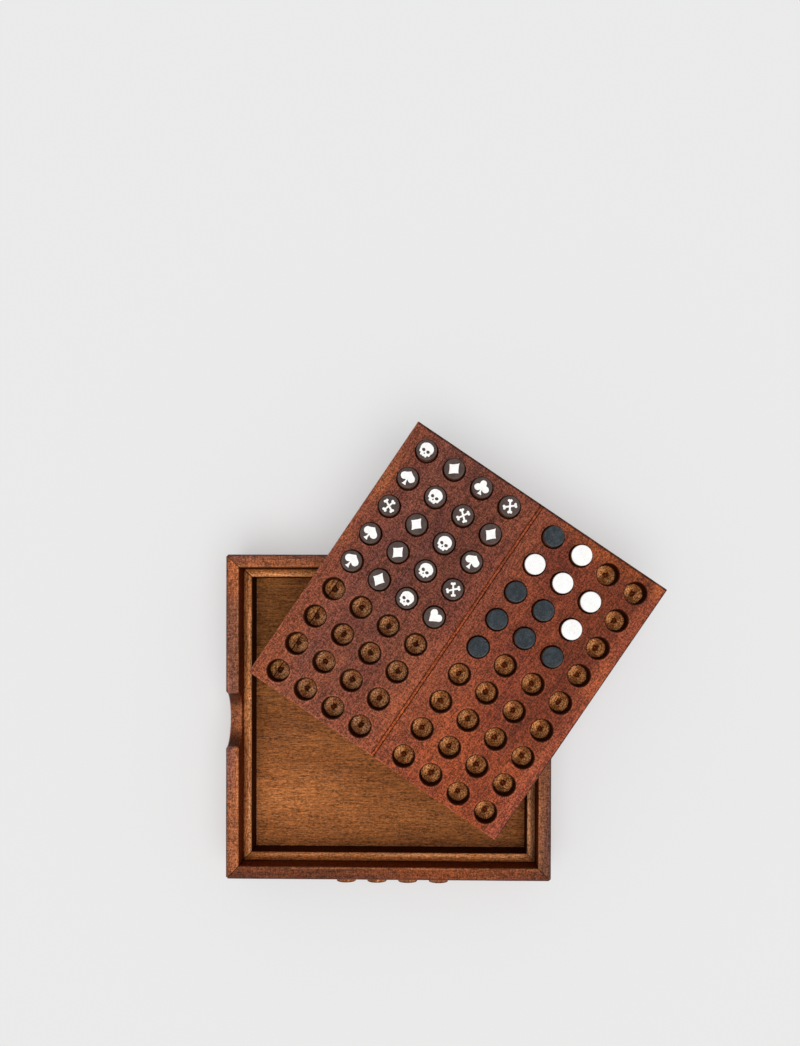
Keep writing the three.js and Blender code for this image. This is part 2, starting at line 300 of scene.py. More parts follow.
def wall_material():
    s = Shader("tray_wall_wood")
    w = wood_fields(s, figure=0.12, streak=0.16, fibre=0.24, speckle=0.62, ticks=0.30, pores=0.26, specks=0.62, deepest=0.32,
                    fibre_size=(0.30, 1.5, 1.5), speckle_size=(1.1, 1.7, 1.7), tick_size=(1.9, 0.42, 0.42))
    along, out, up = s.split(s.attribute("local"))
    # the stain lies purple-brown on the outer half of the rim and orange on the inner half, in long patches
    patch = s.noise(w["g"], (0.022, 0.05, 0.05), 2.0, 0.55)
    lean = s.add(s.mul(s.sub(out, WALL_THICKNESS * 0.55), 0.16), s.centred(patch, 2.6))
    purple = s.ramp(lean, -0.25, 0.55)
    colour = s.mix(purple, linear(160, 92, 55), linear(124, 74, 60))
    colour = s.mix(s.ramp(w["blotch"], 0.35, 0.7), colour, linear(140, 82, 52))
    colour = s.vector("MULTIPLY", colour, s.attribute("tint"))
    # the inside face is painted dark, painted shade down in the tray
    inside = s.mul(s.ramp(out, 0.75, 0.15), s.ramp(up, TRAY_HEIGHT - 0.3, TRAY_HEIGHT - 1.8))
    colour = s.mix(s.mul(inside, 0.92), colour, linear(94, 35, 11))
    # a thin lighter line on the inner edge is painted highlight, a darker line on the outer one is painted shade on the
    # rounding, and the wall is darker low down on the outside
    crest = s.noise(w["g"], (0.10, 0.3, 0.3), 2.0, 0.6)
    top = s.ramp(up, TRAY_HEIGHT - 1.8, TRAY_HEIGHT - 0.7)
    worn = s.mul(s.mul(s.ramp(s.absolute(s.sub(out, 0.55)), 0.55, 0.1), top), s.ramp(crest, 0.36, 0.60, 0.25, 1.0))
    colour = s.mix(s.mul(worn, 0.42), colour, linear(192, 126, 84))
    # the thumb notch is painted darker, its sloping ends most: painted shade in the notch
    notch = s.mul(s.mul(s.ramp(out, 0.15, 0.8), s.ramp(out, WALL_THICKNESS - 0.15, WALL_THICKNESS - 0.8)), s.ramp(up, TRAY_HEIGHT - 1.0, TRAY_HEIGHT - 2.4))
    colour = s.mix(s.mul(notch, 0.45), colour, linear(118, 66, 36))
    colour = s.mix(s.mul(s.mul(notch, s.ramp(up, TRAY_HEIGHT - 12.45, TRAY_HEIGHT - 8.6)), 0.80), colour, linear(50, 20, 8))
    # painted shade: the darker line on the rounded outer edge
    outline = s.mul(s.ramp(out, WALL_THICKNESS - 1.05, WALL_THICKNESS - 0.50), s.ramp(up, TRAY_HEIGHT - 6.0, TRAY_HEIGHT - 3.0))
    colour = s.mix(s.mul(outline, s.ramp(crest, 0.30, 0.62, 0.86, 0.55)), colour, linear(48, 19, 7))
    low = s.ramp(up, 2.5, 0.0)
    colour = s.mix(s.mul(low, 0.45), colour, linear(70, 38, 24))
    # mitre lines at the corners are dark
    mitre = s.ramp(s.absolute(s.sub(s.absolute(along), s.add(out, WALL_INNER))), 0.35, 0.05)
    colour = s.mix(s.mul(mitre, 0.80), colour, linear(34, 15, 8))
    # the peg holes are painted dark inside: painted shade
    dx = s.sub(along, SECRET_FIRST)
    dx = s.sub(dx, s.mul(s.math("ROUND", s.math("DIVIDE", dx, SECRET_STEP)), SECRET_STEP))
    dz = s.sub(up, SECRET_Z)
    bore = s.math("SQRT", s.add(s.mul(dx, dx), s.mul(dz, dz)))
    bore = s.mul(s.ramp(bore, HOLE_RADIUS + 0.42, HOLE_RADIUS + 0.25), s.mul(s.ramp(out, WALL_THICKNESS - 0.1, WALL_THICKNESS - 0.5), s.ramp(out, 0.02, 0.2)))
    colour = s.mix(s.mul(bore, 0.9), colour, linear(44, 20, 10))
    # the outside faces were planed: quieter than the worn rim, with long straight grain lines
    planed = s.mul(s.ramp(out, WALL_THICKNESS - 0.5, WALL_THICKNESS - 0.2), s.ramp(up, TRAY_HEIGHT - 1.0, TRAY_HEIGHT - 3.0))
    grain = s.noise(w["g2"], (0.03, 1.3, 1.3), 3.0, 0.6)
    value = s.add(1.0, s.mul(s.sub(w["value"], 1.0), s.ramp(planed, 0.0, 1.0, 1.0, 0.34)))
    value = s.add(value, s.mul(planed, s.centred(grain, 1.7)))
    colour = paint_scale(s, colour, value)
    rough = s.add(s.add(0.46, s.centred(w["fleck"], 0.22)), s.mul(s.high(inside, bore), 0.3))
    return s.finish(colour, rough, w["height"], bump=0.5, reach=0.12, specular=s.ramp(s.high(s.high(inside, bore), s.mul(notch, 0.8)), 0.0, 1.0, 0.26, 0.05))


def ledge_material():
    s = Shader("tray_ledge_wood")
    w = wood_fields(s, figure=0.10, streak=0.18, fibre=0.26, speckle=0.60, ticks=0.12, pores=0.50, specks=0.70, deepest=0.26,
                    fibre_size=(0.24, 1.7, 1.7), speckle_size=(0.9, 1.8, 1.8))
    along, out, up = s.split(s.attribute("local"))
    colour = s.mix(s.ramp(w["blotch"], 0.35, 0.68), linear(170, 106, 58), linear(148, 88, 46))
    # the tint is stain, and on the ledges also painted light: the back ledge lighter, the right one darker
    colour = s.vector("MULTIPLY", colour, s.attribute("tint"))
    # painted highlight on the rounded inner edge, and painted shade darkening the strip towards the wall
    colour = paint_scale(s, colour, s.ramp(out, 0.9, LEDGE_W - 0.5, 1.14, 0.58))
    painted_edge_light = s.mul(s.ramp(out, 1.75, 0.9), s.ramp(up, LEDGE_TOP - 2.3, LEDGE_TOP - 1.2))
    painted_edge_light = s.mul(painted_edge_light, s.ramp(s.noise(w["g"], (0.05, 0.2, 0.2), 2.0, 0.5), 0.36, 0.6, 0.35, 1.0))
    colour = s.mix(s.mul(painted_edge_light, 0.62), colour, linear(232, 164, 114))
    # painted shade: the face below is almost black
    inside = s.mul(s.ramp(out, 0.75, 0.15), s.ramp(up, LEDGE_TOP - 0.9, LEDGE_TOP - 2.3))
    colour = s.mix(s.mul(inside, 0.95), colour, linear(46, 15, 5))
    # painted shade in the crease against the wall
    crease = s.ramp(out, LEDGE_W - 0.95, LEDGE_W - 0.10)
    colour = s.mix(s.mul(crease, 0.8), colour, linear(44, 16, 5))
    mitre = s.ramp(s.absolute(s.sub(s.absolute(along), s.add(out, LEDGE_INNER))), 0.34, 0.06)
    colour = s.mix(s.mul(mitre, 0.85), colour, linear(26, 10, 5))
    colour = paint_scale(s, colour, w["value"])
    rough = s.add(s.add(0.44, s.centred(w["fleck"], 0.2)), s.mul(inside, 0.35))
    return s.finish(colour, rough, w["height"], bump=0.45, reach=0.10, specular=s.ramp(inside, 0.0, 1.0, 0.28, 0.02))


def floor_material():
    s = Shader("tray_floor_veneer")
    w = wood_fields(s, figure=0.04, streak=0.10, fibre=0.30, speckle=0.50, ticks=0.05, pores=0.20, specks=0.50, deepest=0.34, wave=2.4,
                    fibre_size=(0.11, 1.5, 1.5), speckle_size=(0.55, 1.6, 1.6))
    x, y, z = s.split(s.attribute("local"))
    colour = s.mix(s.ramp(w["blotch"], 0.33, 0.66), linear(150, 91, 48), linear(134, 79, 40))
    # fine darker growth lines that wander along the sheet
    rings = s.noise(w["g2"], (0.012, 0.55, 0.55), 2.0, 0.5)
    rings = s.ramp(s.absolute(s.sub(rings, 0.5)), 0.030, 0.0)
    colour = s.mix(s.mul(rings, 0.22), colour, linear(92, 50, 24))
    grey = s.ramp(s.noise(w["g"], (0.03, 0.09, 0.09), 2.0, 0.5), 0.5, 0.72)
    colour = s.mix(s.mul(grey, 0.30), colour, linear(112, 72, 48))
    # painted light: brightest in the near left corner, and a little lighter again by the left wall towards the back
    span = s.vector("LENGTH", s.join(s.add(x, 62.0), s.mul(s.add(y, 62.0), 1.15), 0.0))
    colour = s.vector("MULTIPLY", colour, s.mix(s.ramp(span, 16.0, 62.0), (1.46, 1.47, 1.48, 1.0), (0.94, 0.91, 0.86, 1.0)))
    span = s.vector("LENGTH", s.join(s.add(x, 60.0), s.mul(s.sub(y, 45.0), 0.6), 0.0))
    colour = s.vector("MULTIPLY", colour, s.mix(s.ramp(span, 10.0, 34.0), (1.05, 1.14, 1.08, 1.0), (1.0, 1.0, 1.0, 1.0)))
    pale = s.high(s.ramp(x, -LEDGE_INNER + 0.75, -LEDGE_INNER + 0.25), s.mul(s.ramp(y, -LEDGE_INNER + 0.75, -LEDGE_INNER + 0.25), 0.35))
    pale = s.mul(pale, s.ramp(s.noise(w["g"], (0.07, 0.07, 0.07), 2.0, 0.6), 0.38, 0.6, 0.15, 1.0))
    colour = s.mix(s.mul(pale, 0.40), colour, linear(140, 112, 96))
    colour = paint_scale(s, colour, w["value"])
    rough = s.add(0.50, s.centred(w["fibres"], 0.2))
    return s.finish(colour, rough, w["height"], bump=0.45, reach=0.10, specular=0.18)


def board_material():
    s = Shader("peg_board_wood")
    w = wood_fields(s, figure=0.07, streak=0.14, fibre=0.32, speckle=0.88, ticks=0.30, pores=0.14, specks=0.78, deepest=0.42, wave=2.5,
                    fibre_size=(0.28, 1.45, 1.45), speckle_size=(1.3, 1.8, 1.8), tick_size=(1.6, 0.46, 0.46))
    x, y, z = s.split(s.attribute("local"))
    surface = s.ramp(z, -0.50, -0.25)
    # distance from the nearest hole's axis: four columns outwards from the middle on each side, nine holes in each
    dx = s.sub(s.high(s.absolute(x), COLUMN_NEAR - PITCH / 2), COLUMN_NEAR)
    dx = s.sub(dx, s.mul(s.low(s.math("ROUND", s.math("DIVIDE", dx, PITCH)), 3.0), PITCH))
    dy = s.sub(y, GRID_Y)
    dy = s.sub(dy, s.mul(s.low(s.high(s.math("ROUND", s.math("DIVIDE", dy, PITCH)), -4.0), 4.0), PITCH))
    r = s.math("SQRT", s.add(s.mul(dx, dx), s.mul(dy, dy)))

    # stain: redder and brighter towards the right and redder towards the near edge, purple-brown in bands along the
    # columns; the board is also painted brighter towards the near edge, painted light
    colour = s.mix(s.ramp(w["blotch"], 0.34, 0.70), linear(150, 84, 56), linear(128, 68, 50))
    wander = s.add(x, s.centred(s.noise(w["g"], (0.02, 0.06, 0.06), 2.0, 0.5), 9.0))
    band_a = s.mul(s.ramp(s.absolute(s.add(wander, 48.5)), 4.2, 0.6), s.ramp(y, 40.0, -5.0, 0.10, 1.0))
    band_b = s.ramp(s.absolute(s.add(wander, 33.0)), 3.4, 0.6)
    band_c = s.ramp(s.absolute(s.sub(wander, 24.0)), 3.0, 0.5)
    bands = s.high(s.high(band_a, s.mul(band_b, 0.75)), s.mul(band_c, 0.45))
    bands = s.mul(bands, s.ramp(s.noise(w["g"], (0.03, 0.05, 0.05), 2.0, 0.5), 0.30, 0.56, 0.25, 1.0))
    colour = s.mix(s.mul(bands, 0.50), colour, linear(92, 58, 56))
    left = s.ramp(x, 20.0, -50.0)
    colour = s.mix(s.mul(left, 0.38), colour, linear(122, 76, 66))
    smudge = s.ramp(s.noise(w["g"], (0.045, 0.085, 0.085), 2.0, 0.6), 0.54, 0.72)
    colour = s.mix(s.mul(smudge, 0.34), colour, linear(84, 46, 42))
    stave = s.ramp(x, GLUE_X + 2.5, GLUE_X - 2.5)
    colour = s.mix(s.mul(stave, 0.55), colour, linear(160, 90, 54))
    # the strip between the two scribed lines
    strip = s.ramp(s.absolute(x), SCRIBE_X + 0.45, SCRIBE_X - 0.1)
    colour = s.mix(s.mul(strip, 0.60), colour, linear(166, 82, 36))
    fray = s.centred(s.noise(w["g"], (0.55, 1.2, 1.2), 2.0, 0.6), 0.7)
    line = s.ramp(s.absolute(s.sub(s.add(s.absolute(x), fray), SCRIBE_X)), 0.40, 0.14)
    ragged = s.ramp(s.noise(w["g"], (0.35, 0.5, 0.5), 2.0, 0.7), 0.34, 0.60, 0.30, 1.0)
    line = s.mul(line, s.mul(ragged, s.ramp(x, -0.5, 0.5, 0.60, 0.90)))
    colour = s.mix(line, colour, linear(58, 24, 8))
    # glue line
    glue = s.mul(s.ramp(s.absolute(s.sub(x, GLUE_X)), 0.30, 0.05), s.ramp(s.noise(w["g"], (0.12, 0.3, 0.3), 2.0, 0.6), 0.35, 0.65, 0.15, 0.8))
    colour = s.mix(s.mul(glue, 0.6), colour, linear(60, 30, 22))
    # a lighter eased rim round each hole, painted highlight, and a dark line at each hole's mouth, painted shade; then
    # a thin dark outline along the far and right edges
    rim = s.mul(s.ramp(s.absolute(s.sub(r, HOLE_RADIUS + 0.55)), 0.75, 0.1), surface)
    colour = s.mix(s.mul(rim, 0.18), colour, linear(186, 122, 92))
    lip = s.mul(s.ramp(r, HOLE_RADIUS + 0.62, HOLE_RADIUS + 0.34), surface)
    colour = s.mix(s.mul(lip, 0.78), colour, linear(52, 20, 10))
    # painted highlight: lighter orange along the far edge right of the scribed lines and by the left edge
    painted_edge_light = s.mul(s.ramp(y, BOARD_L / 2 - 9.0, BOARD_L / 2 - 3.5), s.ramp(x, 4.0, 16.0))
    painted_edge_light = s.high(painted_edge_light, s.mul(s.ramp(x, -BOARD_W / 2 + 7.5, -BOARD_W / 2 + 2.0), s.ramp(y, -10.0, 25.0)))
    painted_edge_light = s.mul(painted_edge_light, s.ramp(s.noise(w["g"], (0.05, 0.10, 0.10), 2.0, 0.6), 0.38, 0.62, 0.15, 1.0))
    colour = s.mix(s.mul(painted_edge_light, 0.42), colour, linear(206, 124, 62))
    # the thin dark outline along the far and right edges: partly darker stain, partly painted shade on the rounded
    # arris
    far = s.low(s.sub(BOARD_L / 2, y), s.add(s.sub(BOARD_W / 2, x), 0.45))
    outline = s.mul(s.ramp(far, 1.25, 0.70), s.ramp(s.noise(w["g"], (0.8, 0.8, 0.8), 1.0, 0.5), 0.3, 0.62, 0.72, 1.0))
    outline = s.mul(outline, s.ramp(z, -1.5, -0.8))
    colour = s.mix(s.mul(outline, 0.88), colour, linear(30, 13, 8))
    # painted highlight: the near edges a little lighter
    near = s.low(s.add(BOARD_L / 2, y), s.add(BOARD_W / 2, x))
    colour = s.mix(s.mul(s.mul(s.ramp(near, 0.9, 0.2), s.ramp(z, -1.5, -0.8)), 0.30), colour, linear(186, 116, 80))
    # painted light: brighter towards the near edge
    painted_light_to_near_edge = s.ramp(y, BOARD_L / 2, -BOARD_L / 2, 0.86, 1.16, smooth=False)
    colour = paint_scale(s, colour, painted_light_to_near_edge)
    stain = s.mix(s.ramp(x, -12.0, 34.0), (0.75, 0.68, 0.72, 1.0), (0.75, 0.55, 0.46, 1.0))
    stain = s.vector("MULTIPLY", stain, s.mix(s.ramp(y, 20.0, -60.0), (1.0, 1.0, 1.0, 1.0), (1.06, 1.02, 0.81, 1.0)))
    dusk = s.mul(s.ramp(s.absolute(s.sub(y, 5.0)), 78.0, 20.0), s.mul(s.ramp(x, -4.0, -18.0), s.ramp(x, -50.0, -43.0)))
    stain = s.vector("MULTIPLY", stain, s.mix(dusk, (1.0, 1.0, 1.0, 1.0), (0.77, 0.80, 0.86, 1.0)))
    stain = s.vector("MULTIPLY", stain, s.mix(stave, (1.0, 1.0, 1.0, 1.0), (0.85, 0.83, 0.93, 1.0)))
    dusk = s.mul(s.ramp(x, 34.0, 44.0), s.ramp(y, -40.0, -12.0))
    stain = s.vector("MULTIPLY", stain, s.mix(dusk, (1.0, 1.0, 1.0, 1.0), (0.74, 0.72, 0.70, 1.0)))
    dawn = s.mul(s.ramp(s.absolute(s.add(x, 46.0)), 9.0, 3.0), s.ramp(y, 12.0, 40.0))
    stain = s.vector("MULTIPLY", stain, s.mix(dawn, (1.0, 1.0, 1.0, 1.0), (1.16, 1.22, 1.22, 1.0)))
    stain = s.mix(s.ramp(x, BOARD_W / 2 - 9.0, BOARD_W / 2 - 4.0), stain, (0.98, 0.78, 0.66, 1.0))
    colour = s.vector("MULTIPLY", colour, stain)

    # fine dark drying cracks along the grain near some holes
    crack = s.noise(w["g"], (0.10, 1.6, 1.6), 1.0, 0.5)
    crack = s.ramp(s.absolute(s.sub(crack, 0.5)), 0.010, 0.002)
    spot = s.ramp(s.noise(w["g"], (0.05, 0.12, 0.12), 1.0, 0.5), 0.60, 0.70)
    crack = s.mul(s.mul(crack, spot), surface)
    colour = s.mix(s.mul(crack, 0.6), colour, linear(50, 24, 18))
    planed = s.ramp(z, -0.7, -1.8)
    grain = s.noise(w["g2"], (0.03, 1.3, 1.3), 3.0, 0.6)
    value = s.add(1.0, s.mul(s.sub(w["value"], 1.0), s.ramp(planed, 0.0, 1.0, 1.0, 0.34)))
    value = s.add(value, s.mul(planed, s.centred(grain, 1.7)))
    colour = paint_scale(s, colour, value)

    # inside the holes: near-black walls, partly dark stain and partly painted shade, a painted-shade corner, a rough
    # paler end with a brad mark and cutter swirls
    inside = s.mul(s.ramp(z, -0.08, -0.32), s.ramp(r, HOLE_RADIUS + 0.7, HOLE_RADIUS + 0.5))
    colour = s.mix(s.mul(inside, 0.97), colour, linear(66, 25, 9))
    bottom = s.mul(s.ramp(z, -HOLE_DEPTH + 0.5, -HOLE_DEPTH + 0.1), s.ramp(r, HOLE_RADIUS - 0.02, HOLE_RADIUS - 0.3))
    grit = s.noise(w["g"], (1.5, 1.5, 1.5), 2.0, 0.75)
    grit2 = s.noise(w["g"], (0.33, 0.33, 0.33), 1.0, 0.5)
    turn = s.math("ARCTAN2", dy, dx)
    swirl = s.noise(s.join(s.mul(r, 2.6), turn, grit2), (1.0, 1.1, 1.0), 2.0, 0.6)
    tone = s.add(s.add(1.0, s.centred(grit, 6.6)), s.centred(swirl, 3.2))
    tone = s.low(s.high(tone, 0.26), 2.4)
    lay = s.math("COSINE", s.mul(turn, 2.0))
    tone = s.mul(tone, s.add(1.0, s.mul(lay, s.ramp(r, 0.8, 2.4, 0.0, 0.26))))
    # painted shade: each end darker towards its near side, and dark round its edge by the wall
    tone = s.mul(tone, s.ramp(dy, -4.0, 4.0, 0.88, 1.02, smooth=False))
    corner = s.ramp(s.add(r, s.centred(grit2, 0.6)), HOLE_RADIUS - 0.95, HOLE_RADIUS - 0.38)
    tone = s.mul(tone, s.ramp(corner, 0.0, 1.0, 1.0, 0.10))
    side = s.ramp(x, -8.0, 8.0)
    base = s.mix(side, linear(168, 116, 80), linear(188, 123, 75))
    base = s.mix(s.mul(s.ramp(grit2, 0.4, 0.62), 0.5), base, linear(160, 104, 62))
    base = s.mix(s.mul(s.ramp(lay, 0.2, -0.7), 0.62), base, linear(138, 74, 38))
    base = s.mix(s.ramp(x, GLUE_X + 0.4, GLUE_X - 0.2), base, linear(150, 98, 58))
    mark = s.add(r, s.centred(s.noise(w["g"], (0.9, 0.9, 0.9), 1.0, 0.5), 1.5))
    base = s.mix(s.mul(s.ramp(mark, 1.75, 1.15), 0.94), base, s.mix(side, linear(48, 14, 3), linear(66, 22, 6)))
    base = s.mix(s.mul(s.ramp(mark, 0.62, 0.25), 0.55), base, s.mix(side, linear(106, 46, 16), linear(136, 62, 22)))
    base = s.mix(s.mul(s.ramp(s.absolute(s.sub(x, GLUE_X)), 0.34, 0.1), 0.92), base, linear(22, 9, 4))
    base = paint_scale(s, base, tone)
    colour = s.mix(bottom, colour, base)

    rough = s.add(s.add(0.46, s.centred(w["fleck"], 0.24)), s.mul(inside, 0.3))
    height = s.add(w["height"], s.mul(s.mul(swirl, bottom), 1.2))
    height = s.sub(height, s.mul(crack, 1.0))
    return s.finish(colour, rough, height, bump=0.5, reach=0.12, specular=s.ramp(inside, 0.0, 1.0, 0.26, 0.02))


def peg_wood(s):
    w = wood_fields(s, figure=0.10, streak=0.16, fibre=0.26, speckle=0.26, ticks=0.04, pores=0.4,
                    fibre_size=(0.22, 1.9, 1.9), speckle_size=(0.7, 2.0, 2.0))
    colour = s.mix(s.ramp(w["blotch"], 0.36, 0.66), linear(146, 88, 56), linear(112, 62, 42))
    return w, colour


def peg_material(name, paint, rim, worn, patchy, chamfer_highlight):
    """A dowel: stained side, and a painted end whose paint thins on the chamfer."""
    s = Shader(name)
    w, colour = peg_wood(s)
    x, y, z = s.split(s.attribute("local"))
    r = s.math("SQRT", s.add(s.mul(x, x), s.mul(y, y)))
    colour = paint_scale(s, colour, w["value"])
    # the top of the side is darkened, partly paint run over the edge and partly painted shade round the peg
    paint_run_and_shade = s.ramp(s.add(z, s.centred(s.noise(w["g"], (0.35, 0.8, 0.8), 2.0, 0.6), 1.6)), -3.0, -1.4)
    colour = s.mix(s.mul(paint_run_and_shade, 0.85), colour, linear(36, 18, 12))
    flat = s.join(x, y, 0.0)
    jag = s.noise(w["g"], (1.1, 1.1, 1.1), 2.0, 0.6)
    smear = s.noise(w["g"], (0.32, 0.32, 0.32), 3.0, 0.7)
    dots = s.ramp(s.noise(w["g"], (1.5, 2.6, 2.6), 2.0, 0.6), 0.60, 0.68)
    cover = s.ramp(s.add(z, s.centred(jag, 0.22)), -0.56, -0.40)
    coat = s.mix(s.ramp(smear, 0.38, 0.66), paint, rim)
    coat = s.mix(s.mul(dots, patchy), coat, worn)
    pits = s.ramp(s.noise(w["g"], (1.0, 2.4, 2.4), 2.0, 0.6), 0.41, 0.34)
    coat = s.mix(s.mul(pits, patchy * 0.6), coat, paint_scale(s, coat, 0.30))
    chips = s.ramp(s.noise(w["g"], (1.5, 1.9, 1.9), 1.0, 0.5), 0.62, 0.70)
    coat = s.mix(s.mul(chips, patchy * 0.70), coat, linear(122, 100, 84))
    # painted highlight: a lighter arc on one side of the chamfer, the same side on every peg
    turn = s.math("ARCTAN2", y, x)
    arc = s.ramp(s.math("COSINE", s.add(turn, 0.9)), 0.15, 0.75)
    arc = s.mul(arc, s.mul(s.ramp(r, PEG_RADIUS - 0.75, PEG_RADIUS - 0.52), s.ramp(r, PEG_RADIUS - 0.18, PEG_RADIUS - 0.34)))
    coat = s.mix(s.mul(arc, chamfer_highlight), coat, linear(150, 140, 130))
    colour = s.mix(cover, colour, coat)
    rough = s.add(s.ramp(cover, 0.0, 1.0, 0.50, 0.55), s.centred(smear, 0.25))
    height = s.add(s.mul(w["height"], s.ramp(cover, 0.0, 1.0, 1.0, 0.35)), s.mul(smear, 0.5))
    return s.finish(colour, rough, height, bump=0.45, reach=0.09, specular=0.24)


def bare_peg_material():
    s = Shader("plain_peg_wood")
    w, colour = peg_wood(s)
    x, y, z = s.split(s.attribute("local"))
    r = s.math("SQRT", s.add(s.mul(x, x), s.mul(y, y)))
    ring = s.noise(s.join(s.mul(r, 1.4), s.mul(x, 0.25), s.mul(y, 0.25)), (1.0, 1.0, 1.0), 2.0, 0.6)
    colour = s.mix(0.85, colour, s.mix(s.ramp(w["blotch"], 0.36, 0.66), linear(176, 102, 46), linear(140, 74, 32)))
    pale = s.ramp(s.noise(w["g"], (0.28, 0.55, 0.55), 2.0, 0.6), 0.50, 0.66)
    colour = s.mix(s.mul(pale, 0.60), colour, linear(226, 158, 104))
    colour = s.mix(s.mul(s.ramp(ring, 0.46, 0.6), 0.35), colour, linear(74, 40, 26))
    # the far end's arris and the mouth of the hole are dark
    arris = s.ramp(z, -PEG_LENGTH + 0.95, -PEG_LENGTH + 0.35)
    colour = s.mix(s.mul(arris, 0.62), colour, linear(60, 28, 14))
    colour = paint_scale(s, colour, w["value"])
    painted = s.mul(s.ramp(z, -0.5, -0.25), 1.0)
    colour = s.mix(painted, colour, linear(70, 61, 57))
    rough = s.add(0.5, s.centred(w["fleck"], 0.2))
    return s.finish(colour, rough, w["height"], bump=0.5, reach=0.10, specular=0.26)


def symbol_material():
    s = Shader("white_symbol_paint")
    g = s.attribute("grain")
    cloud = s.noise(g, (0.55, 0.55, 0.55), 3.0, 0.6)
    fine = s.noise(g, (3.0, 3.0, 3.0), 2.0, 0.6)
    colour = s.mix(s.ramp(cloud, 0.35, 0.7), linear(252, 252, 250), linear(240, 238, 233))
    colour = paint_scale(s, colour, s.add(1.0, s.centred(fine, 0.06)))
    rough = s.add(0.55, s.centred(cloud, 0.2))
    return s.finish(colour, rough, s.add(cloud, s.mul(fine, 0.4)), bump=0.3, reach=0.04, specular=0.3)


# ---------------------------------------------------------------- mesh helpers

LEDGE_W = WALL_INNER - LEDGE_INNER
SIDES = {"right": 0.0, "back": math.pi / 2, "left": math.pi, "front": 3 * math.pi / 2}


def side_axes(side, inner):
    """Rows that take a world point to (along, outward from the inner plane, up) for one side of the square tray."""
    a = SIDES[side]
    out = np.array([math.cos(a), math.sin(a), 0.0])
    along = np.array([-math.sin(a), math.cos(a), 0.0])
    return np.array([along, out, [0, 0, 1.0]]), np.array([0.0, -inner, 0.0])


def to_world(points, rows, shift):
    """The inverse of rows @ p + shift, for orthonormal rows."""
    return (points - shift) @ rows


def make_mesh(name, vertices, faces):
    me = bpy.data.meshes.new(name)
    me.from_pydata([tuple(float(c) * MM for c in v) for v in vertices], [], [tuple(int(i) for i in f) for f in faces])
    me.validate()
    bm = bmesh.new()
    bm.from_mesh(me)
    bmesh.ops.recalc_face_normals(bm, faces=bm.faces)
    bm.to_mesh(me)
    bm.free()
    return me


def loft(rings):
    """A closed solid from equal rings of points: quads between rings and one face on each end."""
    rings = np.asarray(rings, float)
    n, m, _ = rings.shape
    faces = []
    for i in range(n - 1):
        for j in range(m):
            k = (j + 1) % m
            faces.append((i * m + j, i * m + k, (i + 1) * m + k, (i + 1) * m + j))
    faces.append(tuple(range(m))[::-1])
    faces.append(tuple((n - 1) * m + j for j in range(m)))
    return rings.reshape(-1, 3), faces


def lathe(profile, segments, phase=0.0):
    """A closed solid of revolution about z. The profile starts and ends on the axis."""
    vertices, faces = [(0, 0, profile[0][1])], []
    inner = profile[1:-1]
    for r, z in inner:
        for k in range(segments):
            a = phase + 2 * math.pi * k / segments
            vertices.append((r * math.cos(a), r * math.sin(a), z))
    vertices.append((0, 0, profile[-1][1]))
    last = len(vertices) - 1
    for k in range(segments):
        faces.append((0, 1 + k, 1 + (k + 1) % segments))
    for i in range(len(inner) - 1):
        a, b = 1 + i * segments, 1 + (i + 1) * segments
        for k in range(segments):
            l = (k + 1) % segments
            faces.append((a + k, b + k, b + l, a + l))
    a = 1 + (len(inner) - 1) * segments
    for k in range(segments):
        faces.append((a + k, last, a + (k + 1) % segments))
    return np.array(vertices, float), faces


def boolean(me, cutter, operation):
    """me cut by or kept inside cutter, exactly."""
    a = bpy.data.objects.new("work_a", me)
    b = bpy.data.objects.new("work_b", cutter)
    for o in (a, b):
        bpy.context.scene.collection.objects.link(o)
    m = a.modifiers.new("cut", "BOOLEAN")
    m.operation, m.object, m.solver = operation, b, "EXACT"
    bpy.context.view_layer.update()
    result = bpy.data.meshes.new_from_object(a.evaluated_get(bpy.context.evaluated_depsgraph_get()))
    for o in (a, b):
        bpy.data.objects.remove(o)
    return result


def clean(me, distance=0.002):
    bm = bmesh.new()
    bm.from_mesh(me)
    bmesh.ops.remove_doubles(bm, verts=bm.verts, dist=distance * MM)
    bmesh.ops.dissolve_degenerate(bm, dist=distance * MM * 0.5, edges=bm.edges)
    idle = []                                    # points in the middle of a straight edge shared by the same two faces
    for v in bm.verts:
        if len(v.link_edges) == 2:
            a, b = (e.other_vert(v).co for e in v.link_edges)
            along = (b - a).normalized()
            if ((v.co - a) - along * (v.co - a).dot(along)).length < 0.01 * MM:
                idle.append(v)
    bmesh.ops.dissolve_verts(bm, verts=idle)
    bm.to_mesh(me)
    bm.free()
    return me


def store(me, name, values):
    a = me.attributes.get(name) or me.attributes.new(name, "FLOAT_VECTOR", "POINT")
    a.data.foreach_set("vector", np.asarray(values, np.float32).ravel())


